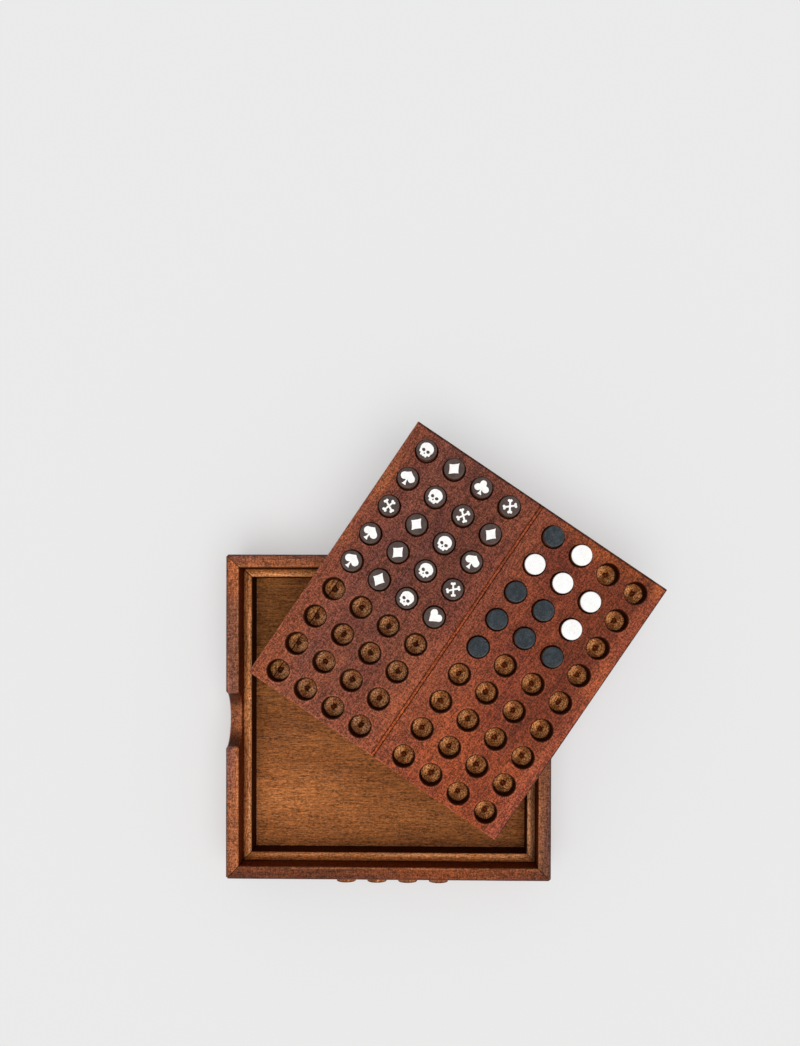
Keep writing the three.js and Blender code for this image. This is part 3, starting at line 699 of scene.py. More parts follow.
def add_piece(name, me, body, material, rows, shift, order=(0, 1, 2), stand_for=None, sharp=34.0, seed=0, grain_scale=1.0, stain_and_light_stops=None):
    """Shades, numbers and places one piece. rows and shift give its own coordinates, and order says which of them runs along the grain."""
    me.name = name
    me.polygons.foreach_set("use_smooth", [True] * len(me.polygons))
    me.set_sharp_from_angle(angle=math.radians(sharp))
    o = bpy.data.objects.new(name, me)
    bpy.context.scene.collection.objects.link(o)
    m = o.modifiers.new("normals", "WEIGHTED_NORMAL")
    m.mode, m.keep_sharp, m.weight = "FACE_AREA", True, 50
    bpy.context.view_layer.update()
    done = bpy.data.meshes.new_from_object(o.evaluated_get(bpy.context.evaluated_depsgraph_get()))
    o.modifiers.clear()
    o.data = done
    bpy.data.meshes.remove(me)
    done.name = name
    co = np.zeros(len(done.vertices) * 3)
    done.vertices.foreach_get("co", co)
    co = co.reshape(-1, 3) * 1000.0
    local = co @ np.asarray(rows).T + np.asarray(shift)
    store(done, "local", local)
    offset = np.random.default_rng(1000 + seed).uniform(-400, 400, 3)
    store(done, "grain", local[:, list(order)] * grain_scale + offset)
    if stain_and_light_stops:                                   # the stain's strength at places along a length, from 0 to 1, for the ledges also painted light
        t = np.clip(local[:, 0] / TRAY_HALF * 0.5 + 0.5, 0, 1)
        places = [stop[0] for stop in stain_and_light_stops]
        store(done, "tint", np.stack([np.interp(t, places, [stop[1][i] for stop in stain_and_light_stops]) for i in range(3)], 1))
    done.materials.clear()
    done.materials.append(material)
    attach(o, body)
    if stand_for:
        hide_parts(stand_for)
    return o


# ---------------------------------------------------------------- tray walls and ledges

def corner_table(half, start, corner):
    """Where a rounded plan corner's points lie along a wall, and how far its outer face has drawn in at each."""
    angles = np.radians([0.0, 9.0, 18.0, 27.0, 36.0, 45.0])
    inset = corner * (1 - np.cos(angles))
    reach = (half - inset - start) / (half - start)
    return start + (half - corner + corner * np.sin(angles) - start) / reach, inset


def rim_path(half, height, notch_radius=None, step=2.5, centre=0.0, corner=0.0, start=0.0):
    """Points (along, up) of a wall's rim with their outward normals, from end to end."""
    if notch_radius is None:
        xs = np.linspace(-half, half, int(2 * half / step) + 1)
        path = [(x, height, 0.0, 1.0) for x in xs]
    else:
        f = 1.1                                 # the notch's corners are rubbed round
        edge = []
        for t in np.linspace(0, 1, 9)[1:]:
            a = math.pi / 2 * (1 - t)           # from straight up to facing the notch
            edge.append((-notch_radius - f + f * math.cos(a), height - f + f * math.sin(a), math.cos(a), math.sin(a)))
        a0 = math.asin(f / notch_radius)
        arc = []
        for t in np.linspace(a0, math.pi - a0, 49):
            x, z = -notch_radius * math.cos(t), height - notch_radius * math.sin(t)
            arc.append((x, z, -x / notch_radius, (height - z) / notch_radius))
        middle = edge + arc[1:-1] + [(-x, z, -nx, nz) for x, z, nx, nz in edge[::-1]]
        path = [(x, height, 0.0, 1.0) for x in np.linspace(-half, centre - notch_radius - f, 26)]
        path += [(x + centre, z, nx, nz) for x, z, nx, nz in middle]
        path += [(x, height, 0.0, 1.0) for x in np.linspace(centre + notch_radius + f, half, 26)]
    if corner:
        xs, _ = corner_table(half, start, corner)
        path = path[:1] + [(-x, height, 0.0, 1.0) for x in xs[-2::-1]] + path[1:-1] + [(x, height, 0.0, 1.0) for x in xs[:-1]] + path[-1:]
    return path


def moulding(side, inner, width, bottom, height, path, outer_round, inner_round, gap, arris, seed, bottom_arris=0.5, corner=0.0):
    """One mitred length of the tray's frame: its section swept along the rim, in the world."""
    half = inner + width
    s0 = 40.0 * inner / 69.0
    table = corner_table(half, s0, corner) if corner else None
    random = np.random.default_rng(seed)
    wob_o = np.interp(np.linspace(0, 1, len(path)), np.linspace(0, 1, 17), random.uniform(-0.14, 0.14, 17))
    wob_i = np.interp(np.linspace(0, 1, len(path)), np.linspace(0, 1, 17), random.uniform(-0.12, 0.12, 17))
    steps = np.radians(np.linspace(0, 90, 7))
    ends = [0] + list(range(len(path))) + [len(path) - 1]
    rings = []
    for index, i in enumerate(ends):
        x, z, nx, nz = path[i]
        tight = index in (0, len(ends) - 1)
        inset = arris if tight else 0.0
        pull = 0.0 if tight else (arris if index in (1, len(ends) - 2) else 0.0)
        ro, ri = outer_round + wob_o[i], inner_round + wob_i[i]
        face = width - inset - (float(np.interp(abs(x), table[0], table[1], left=0.0)) if corner else 0.0)
        points = [(x, inset, bottom + inset), (x, face - bottom_arris, bottom + inset), (x, face, bottom + bottom_arris + inset)]
        for t in steps:                        # outer rounding, from the outer face up
            depth = ro * (1 - math.sin(t)) + inset
            points.append((x - nx * depth, face - ro * (1 - math.cos(t)), z - nz * depth))
        for t in steps[::-1]:                  # inner rounding, down to the inner face
            depth = ri * (1 - math.sin(t)) + inset
            points.append((x - nx * depth, inset + ri * (1 - math.cos(t)), z - nz * depth))
        points = np.array(points)
        points[1, 0] = points[2, 0] = points[3, 0]
        points[0, 0] = points[-1, 0]
        a = np.abs(points[:, 0])
        reach = (inner + points[:, 1] - gap - pull - s0) / (half - s0)
        points[:, 0] = np.where(a > s0, np.sign(points[:, 0]) * (s0 + (a - s0) * reach), points[:, 0])
        rings.append(points)
    rows, shift = side_axes(side, inner)
    vertices, faces = loft([to_world(r, rows, shift) for r in rings])
    return make_mesh("moulding", vertices, faces), rows, shift


# stain strength along each side, and for the ledges also painted light, the back ledge lighter and the right one
# darker: right and back run +y and -x, left and front run -y and +x
WALL_TINT = {"right": ((0, (0.63, 0.70, 0.79)), (1, (0.63, 0.70, 0.79))),
             "back": ((0, (0.86, 0.83, 0.81)), (1, (0.86, 0.83, 0.81))),
             "left": ((0, (1.15, 1.02, 0.85)), (0.10, (1.12, 1.00, 0.88)), (0.17, (0.80, 0.84, 1.05)), (0.38, (0.86, 0.92, 1.12)),
                      (0.62, (1.15, 1.15, 1.10)), (1, (1.35, 1.25, 1.00))),
             "front": ((0, (0.42, 0.34, 0.32)), (0.45, (0.52, 0.43, 0.37)), (0.60, (0.72, 0.54, 0.38)), (0.82, (0.74, 0.58, 0.42)), (1, (0.62, 0.53, 0.44)))}
LEDGE_STAIN_AND_LIGHT = {"right": ((0, (0.68, 0.76, 0.98)), (1, (0.68, 0.76, 0.98))),
              "back": ((0, (1.34, 1.32, 1.22)), (1, (1.34, 1.32, 1.22))),
              "left": ((0, (1.00, 1.00, 0.92)), (1, (1.16, 1.04, 0.94))),
              "front": ((0, (1.06, 0.86, 0.58)), (1, (1.28, 1.16, 0.92)))}


def build_tray():
    wall_wood, ledge_wood, floor_wood = wall_material(), ledge_material(), floor_material()
    # the half-round thumb notch: its size is read from the left wall's own vertices
    co = np.array([v.co for v in NODES["wall_left"].data.vertices], float) * 1000.0
    inside = co[(np.abs(co[:, 1]) < 30) & (co[:, 2] > 10)]
    notch = TRAY_HEIGHT - inside[:, 2].min()
    notch_y = float(inside[inside[:, 2] < inside[:, 2].min() + 0.01, 1].mean())
    for k, side in enumerate(("back", "left", "right", "front")):
        path = rim_path(TRAY_HALF, TRAY_HEIGHT, notch if side == "left" else None, centre=-notch_y, corner=1.3, start=40.0 * WALL_INNER / 69.0)
        me, rows, shift = moulding(side, WALL_INNER, WALL_THICKNESS, 0.0, TRAY_HEIGHT, path, 1.15, 1.15, 0.05, 0.16, 31 + k, corner=1.3)
        if side == "front":
            cutters_v, cutters_f = [], []
            reach = box_mm(SECRET_PEGS[0])[1][1] + WALL_INNER + 0.3         # how far the holes run into the ledge behind the wall
            profile = [(0, -reach), (HOLE_RADIUS, -reach), (HOLE_RADIUS, WALL_THICKNESS - 0.45), (HOLE_RADIUS + 0.45, WALL_THICKNESS),
                       (HOLE_RADIUS + 0.45, WALL_THICKNESS + 1.0), (0, WALL_THICKNESS + 1.0)]
            for n in SECRET_PEGS:
                c = centre_mm(n)
                v, f = lathe(profile, 64)
                # the lathe's axis turns to point outwards, which is -y
                v = np.stack([v[:, 0] + c[0], -v[:, 2] - WALL_INNER, v[:, 1] + c[2]], 1)
                base = sum(len(x) for x in cutters_v)
                cutters_v.append(v)
                cutters_f += [tuple(base + i for i in face) for face in f]
            cutters_v = np.concatenate(cutters_v)
            me = clean(boolean(me, make_mesh("peg_hole_cutter", cutters_v, cutters_f), "DIFFERENCE"))
        add_piece(f"tray_wall_{side}", me, body_of_node(f"wall_{side}"), wall_wood, rows, shift, (0, 1, 2), f"wall_{side}", seed=11 + k, stain_and_light_stops=WALL_TINT[side])
    for k, side in enumerate(("back", "left", "right", "front")):
        path = rim_path(WALL_INNER, LEDGE_TOP)
        open_gap = 0.26 if side in ("back", "left") else 0.08
        me, rows, shift = moulding(side, LEDGE_INNER, LEDGE_W - 0.10, LEDGE_BOTTOM + 0.02, LEDGE_TOP, path, 0.45, 1.9, open_gap, 0.14, 51 + k, 0.3)
        if side == "front":
            me = clean(boolean(me, make_mesh("peg_hole_cutter", cutters_v, cutters_f), "DIFFERENCE"))
        add_piece(f"tray_ledge_{side}", me, body_of_node(f"ledge_{side}"), ledge_wood, rows, shift, (0, 1, 2), f"ledge_{side}", seed=21 + k, stain_and_light_stops=LEDGE_STAIN_AND_LIGHT[side])
    # the floor is a thin panel with eased edges and a faint cup to its face
    lo, hi = box_mm("floor_panel")
    n = 30
    half = hi[0] - 0.08
    xs = np.concatenate([[-half], np.linspace(-half + 0.25, half - 0.25, n), [half]])
    vertices, faces = [], []
    def drop(x, y):
        edge = max(abs(x), abs(y))
        return 0.25 if edge > half - 0.01 else 0.0
    size = len(xs)
    for y in xs:
        for x in xs:
            sag = 0.10 * math.cos(x / half * math.pi / 2) * math.cos(y / half * math.pi / 2) * math.sin(x * 0.05 + 1.0)
            vertices.append((x, y, hi[2] - drop(x, y) - 0.02 - 0.05 * (1 - sag)))
    for y in xs:
        for x in xs:
            vertices.append((x, y, lo[2] + 0.02 + drop(x, y) * 0.8))
    count = size * size
    for j in range(size - 1):
        for i in range(size - 1):
            a = j * size + i
            faces.append((a, a + 1, a + size + 1, a + size))
            faces.append((count + a, count + a + size, count + a + size + 1, count + a + 1))
    for i in range(size - 1):
        for a, b in ((i, i + 1), (count - size + i + 1, count - size + i), ((i + 1) * size, i * size), (i * size + size - 1, (i + 1) * size + size - 1)):
            faces.append((a, b, b + count, a + count)[::-1])
    rows, shift = np.eye(3), np.array([0, 0, -FLOOR_TOP])
    add_piece("tray_floor_panel", make_mesh("floor", vertices, faces), body_of_node("floor_panel"), floor_wood, rows, shift, (0, 1, 2), "floor_panel", seed=29)


# ---------------------------------------------------------------- board

def board_axes():
    c, s = math.cos(TURN), math.sin(TURN)
    rows = np.array([[c, s, 0], [-s, c, 0], [0, 0, 1.0]])
    return rows, -rows @ np.array([BOARD_MID[0], BOARD_MID[1], BOARD_TOP])


def build_board():
    rows, shift = board_axes()
    wood = board_material()
    # the slab: the outline in short steps, its top and bottom edges rounded by a slightly varying amount
    hw, hl = BOARD_W / 2, BOARD_L / 2
    corner = 0.45
    outline = []
    def run(a, b, n):
        for t in np.linspace(0, 1, n, endpoint=False):
            outline.append((a[0] + (b[0] - a[0]) * t, a[1] + (b[1] - a[1]) * t))
    corners = [(hw - corner, -hl + corner, -90), (hw - corner, hl - corner, 0), (-hw + corner, hl - corner, 90), (-hw + corner, -hl + corner, 180)]
    normals = []
    for k, (cx, cy, a0) in enumerate(corners):
        for a in np.radians(np.linspace(a0, a0 + 90, 7)):
            outline.append((cx, cy))
            normals.append((math.cos(a), math.sin(a)))
        nx, ny, na = corners[(k + 1) % 4]
        a = math.radians(a0 + 90)
        for t in np.linspace(0, 1, 34)[1:-1]:
            outline.append((cx + (nx - cx) * t, cy + (ny - cy) * t))
            normals.append((math.cos(a), math.sin(a)))
    outline, normals = np.array(outline), np.array(normals)
    m = len(outline)
    knots = rng.uniform(-0.10, 0.16, 40)
    soft = np.interp(np.arange(m) / m, np.arange(41) / 40, np.append(knots, knots[0]))
    rings = []
    levels = []
    for t in np.radians(np.linspace(0, 90, 5)):
        levels.append(("bottom", t))
    for t in np.radians(np.linspace(90, 0, 5)):
        levels.append(("top", t))
    for where, t in levels:
        radius = (0.55 if where == "top" else 0.45) + soft
        inset = np.minimum(radius, corner) * (1 - math.sin(t))
        up = radius * (1 - math.cos(t))
        z = -BOARD_T + up if where == "bottom" else -up
        ring = outline + normals * (corner - inset)[:, None]
        rings.append(np.column_stack([ring, z]))
    vertices, faces = loft([to_world(r, rows, shift) for r in rings])
    slab = make_mesh("slab", vertices, faces)

    # every hole is one lathed cutter: eased mouth, straight wall, flat end with a brad-point dimple
    d, r = HOLE_DEPTH, HOLE_RADIUS
    profile = [(0, -d - 0.55), (0.34, -d - 0.62), (0.72, -d - 0.20), (0.98, -d), (r - 0.30, -d), (r - 0.08, -d + 0.08), (r, -d + 0.30),
               (r, -0.50), (r + 0.08, -0.28), (r + 0.38, 0.0), (r + 0.38, 1.0), (0, 1.0)]
    cut_v, cut_f, base = [], [], 0
    columns = [s * (COLUMN_NEAR + PITCH * i) for i in range(4) for s in (-1, 1)]
    for cx in columns:
        for k in range(-4, 5):
            cy = GRID_Y + PITCH * k
            v, f = lathe(profile, 48, phase=rng.uniform(0, 0.1))
            wide = rng.uniform(-0.05, 0.05)
            mouth = v[:, 2] > -0.1
            v[mouth, :2] *= 1 + wide / r
            v = v + (cx, cy, 0)
            cut_v.append(v)
            cut_f += [tuple(base + i for i in face) for face in f]
            base += len(v)
    # two scribed V grooves down the middle
    for x in (-SCRIBE_X, SCRIBE_X):
        half, deep = 0.27, 0.42
        n = 40
        ring = []
        for y in np.linspace(-hl - 1, hl + 1, n):
            wander = rng.uniform(-0.035, 0.035)
            ring.append([(x + wander - half, y, 0.0), (x + wander, y, -deep), (x + wander + half, y, 0.0), (x + wander + half, y, 0.8), (x + wander - half, y, 0.8)])
        v, f = loft(ring)
        cut_v.append(v)
        cut_f += [tuple(base + i for i in face) for face in f]
        base += len(v)
    cut = to_world(np.concatenate(cut_v), rows, shift)
    slab = clean(boolean(slab, make_mesh("hole_cutters", cut, cut_f), "DIFFERENCE"))

    # the slab is two glued staves: the narrow one on the left takes the edge of the first column of holes
    gap = 0.012
    def keep(x0, x1):
        ring = []
        for y in (-hl - 5, hl + 5):
            ring.append([(x0, y, -BOARD_T - 5), (x1, y, -BOARD_T - 5), (x1, y, 5), (x0, y, 5)])
        v, f = loft(ring)
        return make_mesh("keep", to_world(v, rows, shift), f)
    main = clean(boolean(slab.copy(), keep(GLUE_X + gap, hw + 5), "INTERSECT"))
    stave = clean(boolean(slab, keep(-hw - 5, GLUE_X - gap), "INTERSECT"))
    add_piece("peg_board_main", main, body_of_node("board_main_panel"), wood, rows, shift, (1, 0, 2), "board_main_panel", seed=41)
    add_piece("peg_board_stave", stave, body_of_node("board_edge_stave"), wood, rows, shift, (1, 0, 2), "board_edge_stave", seed=42)


# ---------------------------------------------------------------- symbols, as outlines of distance fields

def circle(x, y, cx, cy, r):
    return np.hypot(x - cx, y - cy) - r


def oval(x, y, cx, cy, a, b, tilt=0.0):
    c, s = math.cos(tilt), math.sin(tilt)
    u, v = (x - cx) * c + (y - cy) * s, -(x - cx) * s + (y - cy) * c
    return (np.hypot(u / a, v / b) - 1) * min(a, b)


def block(x, y, cx, cy, hx, hy, r):
    dx, dy = np.abs(x - cx) - hx + r, np.abs(y - cy) - hy + r
    return np.hypot(np.maximum(dx, 0), np.maximum(dy, 0)) + np.minimum(np.maximum(dx, dy), 0) - r


def bar(x, y, ax, ay, bx, by, r):
    px, py, qx, qy = x - ax, y - ay, bx - ax, by - ay
    t = np.clip((px * qx + py * qy) / (qx * qx + qy * qy), 0, 1)
    return np.hypot(px - t * qx, py - t * qy) - r


def polygon(x, y, points):
    """Signed distance to a simple polygon."""
    points = np.array(points, float)
    d = np.full(x.shape, 1e9)
    inside = np.zeros(x.shape, bool)
    for (ax, ay), (bx, by) in zip(points, np.roll(points, -1, 0)):
        d = np.minimum(d, bar(x, y, ax, ay, bx, by, 0))
        crosses = ((ay > y) != (by > y)) & (x < (bx - ax) * (y - ay) / ((by - ay) if by != ay else 1e-9) + ax)
        inside ^= crosses
    return np.where(inside, -d, d)


def merge(a, b, k=0.18):
    h = np.clip(0.5 + 0.5 * (b - a) / k, 0, 1)
    return b * (1 - h) + a * h - k * h * (1 - h)


def spade(x, y):
    f = polygon(x, y, [(0, 3.35), (1.15, 2.55), (2.95, 1.45), (3.25, 0.4), (0, -0.9), (-3.25, 0.4), (-2.95, 1.45), (-1.15, 2.55)])
    f = merge(f, circle(x, y, -1.80, 0.30, 1.60), 0.35)
    f = merge(f, circle(x, y, 1.80, 0.30, 1.60), 0.35)
    return merge(f, polygon(x, y, [(-0.30, -0.6), (0.30, -0.6), (0.45, -2.1), (1.05, -3.25), (-1.05, -3.25), (-0.45, -2.1)]), 0.2)


def heart(x, y):
    f = polygon(x, y, [(-2.9, 0.5), (0, -3.1), (2.9, 0.5), (0, 1.7)])
    f = merge(f, circle(x, y, -1.55, 1.15, 1.62), 0.3)
    return merge(f, circle(x, y, 1.55, 1.15, 1.62), 0.3)


def club(x, y):
    f = merge(circle(x, y, 0, 1.85, 1.50), circle(x, y, 0, 0.3, 0.9), 0.3)
    f = merge(f, circle(x, y, -1.85, -0.35, 1.52), 0.3)
    f = merge(f, circle(x, y, 1.85, -0.35, 1.52), 0.3)
    return merge(f, polygon(x, y, [(-0.28, 0), (0.28, 0), (0.42, -2.0), (1.0, -3.25), (-1.0, -3.25), (-0.42, -2.0)]), 0.2)


def diamond(x, y):
    a, b, p = 2.80, 3.25, 0.86
    return ((np.abs(x / a) ** p + np.abs(y / b) ** p) ** (1 / p) - 1) * 1.9 - 0.10


def bones(x, y):
    f = np.full(x.shape, 1e9)
    lean = math.radians(39.5)
    ways = [(math.sin(lean) * d, math.cos(lean)) for d in (1, -1)]
    for ux, uy in ways:
        f = np.minimum(f, bar(x, y, -2.4 * ux, -2.4 * uy, 2.4 * ux, 2.4 * uy, 0.40))
    for ux, uy in ways:
        for e in (1, -1):
            for k in (1, -1):
                f = merge(f, circle(x, y, e * 2.62 * ux - k * 0.52 * uy, e * 2.62 * uy + k * 0.52 * ux, 0.58), 0.22)
    return f


def skull(x, y):
    f = oval(x, y, 0, 0.62, 3.12, 2.72)
    f = merge(f, block(x, y, 0, -1.25, 2.72, 0.72, 0.5), 0.35)
    f = merge(f, block(x, y, 0, -2.15, 1.62, 0.90, 0.32), 0.3)
    for tx in (-0.55, 0.55):
        f = np.maximum(f, -block(x, y, tx, -3.05, 0.12, 0.34, 0.1))
    for e in (-1, 1):
        f = np.maximum(f, -oval(x, y, e * 1.15, -0.38, 0.82, 0.72, e * 0.35))
    return np.maximum(f, -oval(x, y, 0, -1.66, 0.30, 0.40))


SYMBOLS = {"skull": skull, "diamond": diamond, "club": club, "bones": bones, "spade": spade, "heart": heart}


def outlines(field, reach=4.1, n=118):
    """Closed loops where the field crosses zero, by marching squares."""
    xs = np.linspace(-reach, reach, n)
    gx, gy = np.meshgrid(xs, xs, indexing="ij")
    v = field(gx, gy)
    v = np.where(np.abs(v) < 1e-6, 1e-6, v)
    def cross(a, b):
        (i, j), (k, l) = a, b
        t = v[i, j] / (v[i, j] - v[k, l])
        t = min(max(t, 0.04), 0.96)
        return (xs[i] + (xs[k] - xs[i]) * t, xs[j] + (xs[l] - xs[j]) * t)
    nxt, where = {}, {}
    for i in range(n - 1):
        for j in range(n - 1):
            c = [(i, j), (i + 1, j), (i + 1, j + 1), (i, j + 1)]
            s = [v[p] < 0 for p in c]
            if all(s) or not any(s):
                continue
            enter, leave = [], []
            for k in range(4):
                a, b = c[k], c[(k + 1) % 4]
                if s[k] != s[(k + 1) % 4]:
                    key = (min(a, b), max(a, b))
                    where[key] = cross(*key)
                    (leave if s[k] else enter).append(key)
            if len(enter) == 1:
                nxt[leave[0]] = enter[0]
            else:
                for a, b in zip(leave, enter):
                    nxt[a] = b
    loops = []
    left = dict(nxt)
    while left:
        start = next(iter(left))
        loop, at = [], start
        while at in left:
            loop.append(where[at])
            at = left.pop(at)
        if len(loop) > 5:
            loops.append(np.array(loop))
    return loops


def without_slivers(v, tris):
    """The triangles without the bits that hang on the rest by one corner only."""
    while True:
        at = {}
        for t in tris:
            for i in t:
                at.setdefault(i, []).append(t)
        for i, mine in at.items():
            groups = []
            for t in mine:
                near = [g for g in groups if any(len(set(t) & set(u)) > 1 for u in g)]
                groups = [g for g in groups if g not in near] + [[t] + [u for g in near for u in g]]
            if len(groups) > 1:
                area = lambda g: sum(abs(np.linalg.det(np.stack([v[u[1]] - v[u[0]], v[u[2]] - v[u[0]]]))) for u in g)
                small = min(groups, key=area)
                tris = [t for t in tris if t not in small]
                break
        else:
            return tris


def symbol_solid(name, turn, offset, low, high, seed):
    """A thin closed plate with the symbol's outline, z from low to high, in the peg's own coordinates."""
    phase = np.random.default_rng(seed).uniform(0, 6.28, 4)
    def field(x, y):
        wobble = 0.030 * (np.sin(1.9 * x + phase[0]) * np.sin(2.3 * y + phase[1]) + np.sin(4.1 * x + phase[2]) * np.sin(3.7 * y + phase[3]))
        return SYMBOLS[name](x, y) + wobble
    points, edges = [], []
    for loop in outlines(field):
        first = len(points)
        k = len(loop)
        points += [Vector((float(p[0]), float(p[1]))) for p in loop]
        edges += [(first + i, first + (i + 1) % k) for i in range(k)]
    v, _, f, *_ = delaunay_2d_cdt(points, edges, [], 1, 1e-5)
    v = np.array([tuple(p) for p in v])
    keep = []
    for tri in f:
        c = v[list(tri)].mean(0)
        if field(np.array([c[0]]), np.array([c[1]]))[0] < 0:
            keep.append(tuple(tri))
    keep = without_slivers(v, keep)
    used = sorted({i for t in keep for i in t})
    index = {i: k for k, i in enumerate(used)}
    v = v[used]
    keep = [tuple(index[i] for i in t) for t in keep]
    n = len(v)
    c, s = math.cos(turn), math.sin(turn)
    flat = np.column_stack([v[:, 0] * c - v[:, 1] * s + offset[0], v[:, 0] * s + v[:, 1] * c + offset[1]])
    seen = {}
    for t in keep:
        for a, b in ((t[0], t[1]), (t[1], t[2]), (t[2], t[0])):
            seen[(a, b)] = True
    border = [(a, b) for a, b in seen if (b, a) not in seen]
    vertices = np.concatenate([np.column_stack([flat, np.full(n, high)]), np.column_stack([flat, np.full(n, low)])])
    faces = [t for t in keep] + [tuple(n + i for i in t[::-1]) for t in keep] + [(b, a, n + a, n + b) for a, b in border]
    return vertices, faces


# ---------------------------------------------------------------- pegs

def peg_axes(node):
    """A peg's own coordinates: z is 0 on its marked end and falls along the peg."""
    if node.startswith("secret_peg"):
        c = centre_mm(node)
        inner = box_mm(node)[1][1]
        rows = np.array([[1.0, 0, 0], [0, 0, -1.0], [0, 1.0, 0]])
        return rows, -rows @ np.array([c[0], inner, c[2]])
    rows, _ = board_axes()
    c = centre_mm(node)
    return rows, -rows @ np.array([c[0], c[1], box_mm(node)[1][2]])


def peg_mesh(node, random):
    r, length = PEG_RADIUS, PEG_LENGTH
    c0, c1 = 0.42 + random.uniform(-0.06, 0.06), 0.38 + random.uniform(-0.06, 0.10)
    profile = [(0, -length), (r - c0 - 0.15, -length), (r - c0 * 0.55, -length + c0 * 0.12), (r - c0 * 0.14, -length + c0 * 0.5), (r, -length + c0)]
    for t in np.linspace(0, 1, 6)[1:-1]:
        profile.append((r - random.uniform(0, 0.035), -length + c0 + (length - c0 - c1) * t))
    profile += [(r, -c1), (r - c1 * 0.16, -c1 * 0.48), (r - c1 * 0.55, -c1 * 0.12), (r - c1 - 0.12, 0.0), (0, 0.0)]
    v, f = lathe(profile, 64)
    rows, shift = peg_axes(node)
    return make_mesh(node, to_world(v, rows, shift), f), rows, shift


# how each symbol sits on its peg, in degrees turned anticlockwise from square to the board, by row and column
SYMBOL_TURN = {
    "row1_1": 0, "row1_2": -12, "row1_3": 11, "row1_4": -8,
    "row2_1": 2, "row2_2": -3, "row2_3": 9, "row2_4": -4,
    "row3_1": 23, "row3_2": -5, "row3_3": -2, "row3_4": -3,
    "row4_1": -9, "row4_2": -11, "row4_3": -9, "row4_4": -5,
    "row5_1": -6, "row5_2": 5, "row5_3": -7, "row5_4": -20,
}


def build_pegs():
    code = peg_material("code_peg_paint", linear(76, 62, 58), linear(86, 73, 69), linear(112, 86, 70), 0.34, 0.06)
    black = peg_material("score_peg_black_paint", linear(43, 51, 56), linear(57, 66, 72), linear(24, 26, 29), 0.75, 0.10)
    white = peg_material("score_peg_white_paint", linear(250, 250, 249), linear(244, 243, 240), linear(232, 228, 220), 0.25, 0.0)
    bare = bare_peg_material()
    symbol = symbol_material()
    for k, node in enumerate(CODE_PEGS + SCORE_PEGS + SECRET_PEGS):
        random = np.random.default_rng(700 + k)
        me, rows, shift = peg_mesh(node, random)
        body = body_of_node(node)
        if node in CODE_PEGS:
            material, slot = code, "code_peg_symbol"
        elif node in SECRET_PEGS:
            material, slot = bare, "peg_wood"
        elif node.endswith("black"):
            material, slot = black, "score_peg_black"
        else:
            material, slot = white, "score_peg_white"
        add_piece(node + "_dowel", me, body, material, rows, shift, (2, 0, 1), node, seed=100 + k)
        if node in CODE_PEGS or node in SECRET_PEGS:
            if node in CODE_PEGS:
                place = "_".join(node.split("_")[2:4])
                name, turn = node.split("_")[-1], math.radians(SYMBOL_TURN.get(place, 0))
            else:
                name, turn = ("heart", "spade", "skull", "diamond")[int(node[-1]) - 1], math.radians(random.uniform(-15, 15))
            offset = random.uniform(-0.16, 0.16, 2)
            v, f = symbol_solid(name, turn, offset, -0.05, 0.05, 900 + k)
            me = make_mesh(node + "_mark", to_world(v, rows, shift), f)
            add_piece(node + "_mark", me, body, symbol, rows, shift, (0, 1, 2), None, seed=300 + k)


# ---------------------------------------------------------------- stage, light, camera

def build_stage():
    me = bpy.data.meshes.new("stage_floor")
    bm = bmesh.new()
    bmesh.ops.create_circle(bm, cap_ends=True, radius=9.0, segments=96)
    for v in bm.verts:
        v.co.z = -0.00004
    bm.to_mesh(me)
    bm.free()
    o = bpy.data.objects.new("stage_floor", me)
    bpy.context.scene.collection.objects.link(o)
    s = Shader("stage_paper")
    g = s.node("ShaderNodeTexCoord").outputs["Object"]
    tint = s.noise(g, (900.0, 900.0, 900.0), 2.0, 0.5)
    colour = s.mix(tint, linear(182, 182, 182), linear(183, 183, 183))
    paper = s.finish(colour, 0.9, tint, bump=0.02, reach=0.02, specular=0.0)
    # lit paper: part of its brightness is its own, which keeps the shadows pale
    shade = [n for n in paper.node_tree.nodes if n.type == "BSDF_PRINCIPLED"][0]
    shade.inputs["Emission Color"].default_value = (1.0, 1.0, 1.0, 1.0)
    shade.inputs["Emission Strength"].default_value = PAPER_GLOW
    me.materials.append(paper)


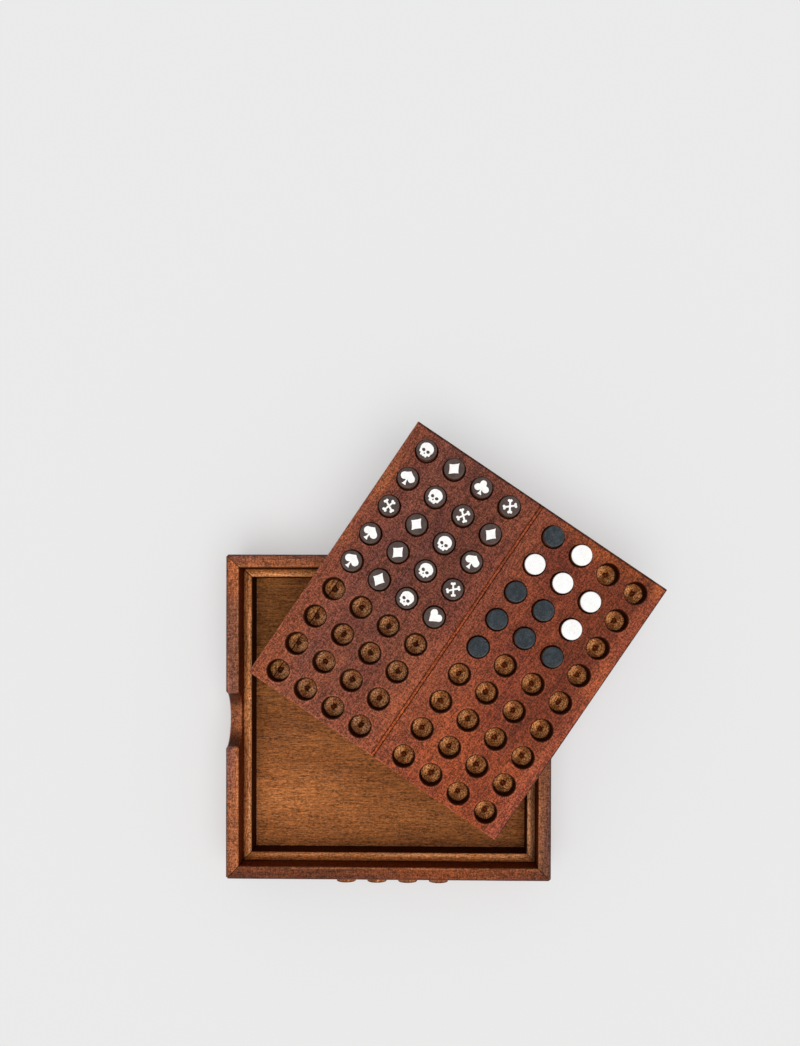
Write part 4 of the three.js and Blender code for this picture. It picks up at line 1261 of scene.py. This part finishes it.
def build_light():
    scene = bpy.context.scene
    world = bpy.data.worlds.new("studio")
    scene.world = world
    world.use_nodes = True
    t = world.node_tree
    t.nodes.clear()
    def node(kind, **settings):
        n = t.nodes.new(kind)
        for key, value in settings.items():
            setattr(n, key, value)
        return n

    def ramp(source, lo, hi, a, b):
        n = node("ShaderNodeMapRange")
        t.links.new(source, n.inputs[0])
        for i, v in zip((1, 2, 3, 4), (lo, hi, a, b)):
            n.inputs[i].default_value = v
        return n.outputs[0]

    def mix(f, a, b):
        n = node("ShaderNodeMix", data_type="FLOAT")
        t.links.new(f, n.inputs[0])
        for v, socket in ((a, n.inputs[2]), (b, n.inputs[3])):
            if isinstance(v, float):
                socket.default_value = v
            else:
                t.links.new(v, socket)
        return n.outputs[0]

    split = node("ShaderNodeSeparateXYZ")
    t.links.new(node("ShaderNodeTexCoord").outputs["Generated"], split.inputs[0])
    up = split.outputs[2]
    dome = ramp(up, 0.30, 1.0, WORLD_LOW, WORLD_HIGH)
    studio = ramp(up, 0.55, 0.92, GLOSS_SIDE, GLOSS_TOP)     # softboxes at the sides, dim straight above
    path = node("ShaderNodeLightPath")
    level = mix(path.outputs["Is Glossy Ray"], dome, studio)
    level = mix(path.outputs["Is Camera Ray"], level, 0.83)
    bg = node("ShaderNodeBackground")
    out = node("ShaderNodeOutputWorld")
    t.links.new(level, bg.inputs["Strength"])
    bg.inputs["Color"].default_value = (1, 1, 1, 1)
    t.links.new(bg.outputs[0], out.inputs[0])
    for name, az, el, power, width in LAMPS:
        lamp = bpy.data.lights.new(name, "SUN")
        lamp.energy = power
        lamp.angle = math.radians(width)
        o = bpy.data.objects.new(name, lamp)
        a, e = math.radians(az), math.radians(el)
        away = Vector((math.sin(a) * math.cos(e), -math.cos(a) * math.cos(e), math.sin(e)))
        o.rotation_mode = "QUATERNION"
        o.rotation_quaternion = (-away).to_track_quat("-Z", "Y")
        o.location = away * 2.0
        o.visible_glossy = False
        scene.collection.objects.link(o)


WORLD_LOW, WORLD_HIGH = 0.34, 0.62
GLOSS_SIDE, GLOSS_TOP = 1.0, 0.12
LAMPS = (("key", 14, 76, 1.90, 54),)
PAPER_GLOW = 0.32


def build_camera():
    scene = bpy.context.scene
    cam = bpy.data.cameras.new("camera")
    o = bpy.data.objects.new("camera", cam)
    scene.collection.objects.link(o)
    height = 0.57002
    o.location = (0.01878, 0.04725, height)
    o.rotation_euler = Euler((-0.0094, 0.02496, 0.00249), "XYZ")
    cam.sensor_width = 36.0
    cam.lens = 36.0 * 1154.76 / 1046.0
    cam.clip_start, cam.clip_end = 0.01, 50.0
    cam.shift_y = 104.0 / 1046.0
    # the rise belongs to this viewpoint only: it goes back to zero when the camera is taken elsewhere
    curve = cam.driver_add("shift_y")
    curve.driver.type = "AVERAGE"
    variable = curve.driver.variables.new()
    variable.type = "TRANSFORMS"
    variable.targets[0].id = o
    variable.targets[0].transform_type = "LOC_Z"
    variable.targets[0].transform_space = "WORLD_SPACE"
    for m in list(curve.modifiers):
        curve.modifiers.remove(m)
    for x, y in ((0.0, 0.0), (height - 0.02, 0.0), (height, 104.0 / 1046.0), (height + 0.02, 0.0), (9.0, 0.0)):
        curve.keyframe_points.insert(x, y, options={"FAST"}).interpolation = "LINEAR"
    curve.extrapolation = "CONSTANT"
    curve.update()
    scene.camera = o


build_tray()
build_board()
build_pegs()
build_stage()
build_light()
build_camera()
scene = bpy.context.scene
scene.view_settings.view_transform = "Standard"
scene.view_settings.look = "None"
scene.view_settings.exposure = 0.0
scene.view_settings.gamma = 1.0

bpy.context.view_layer.update()
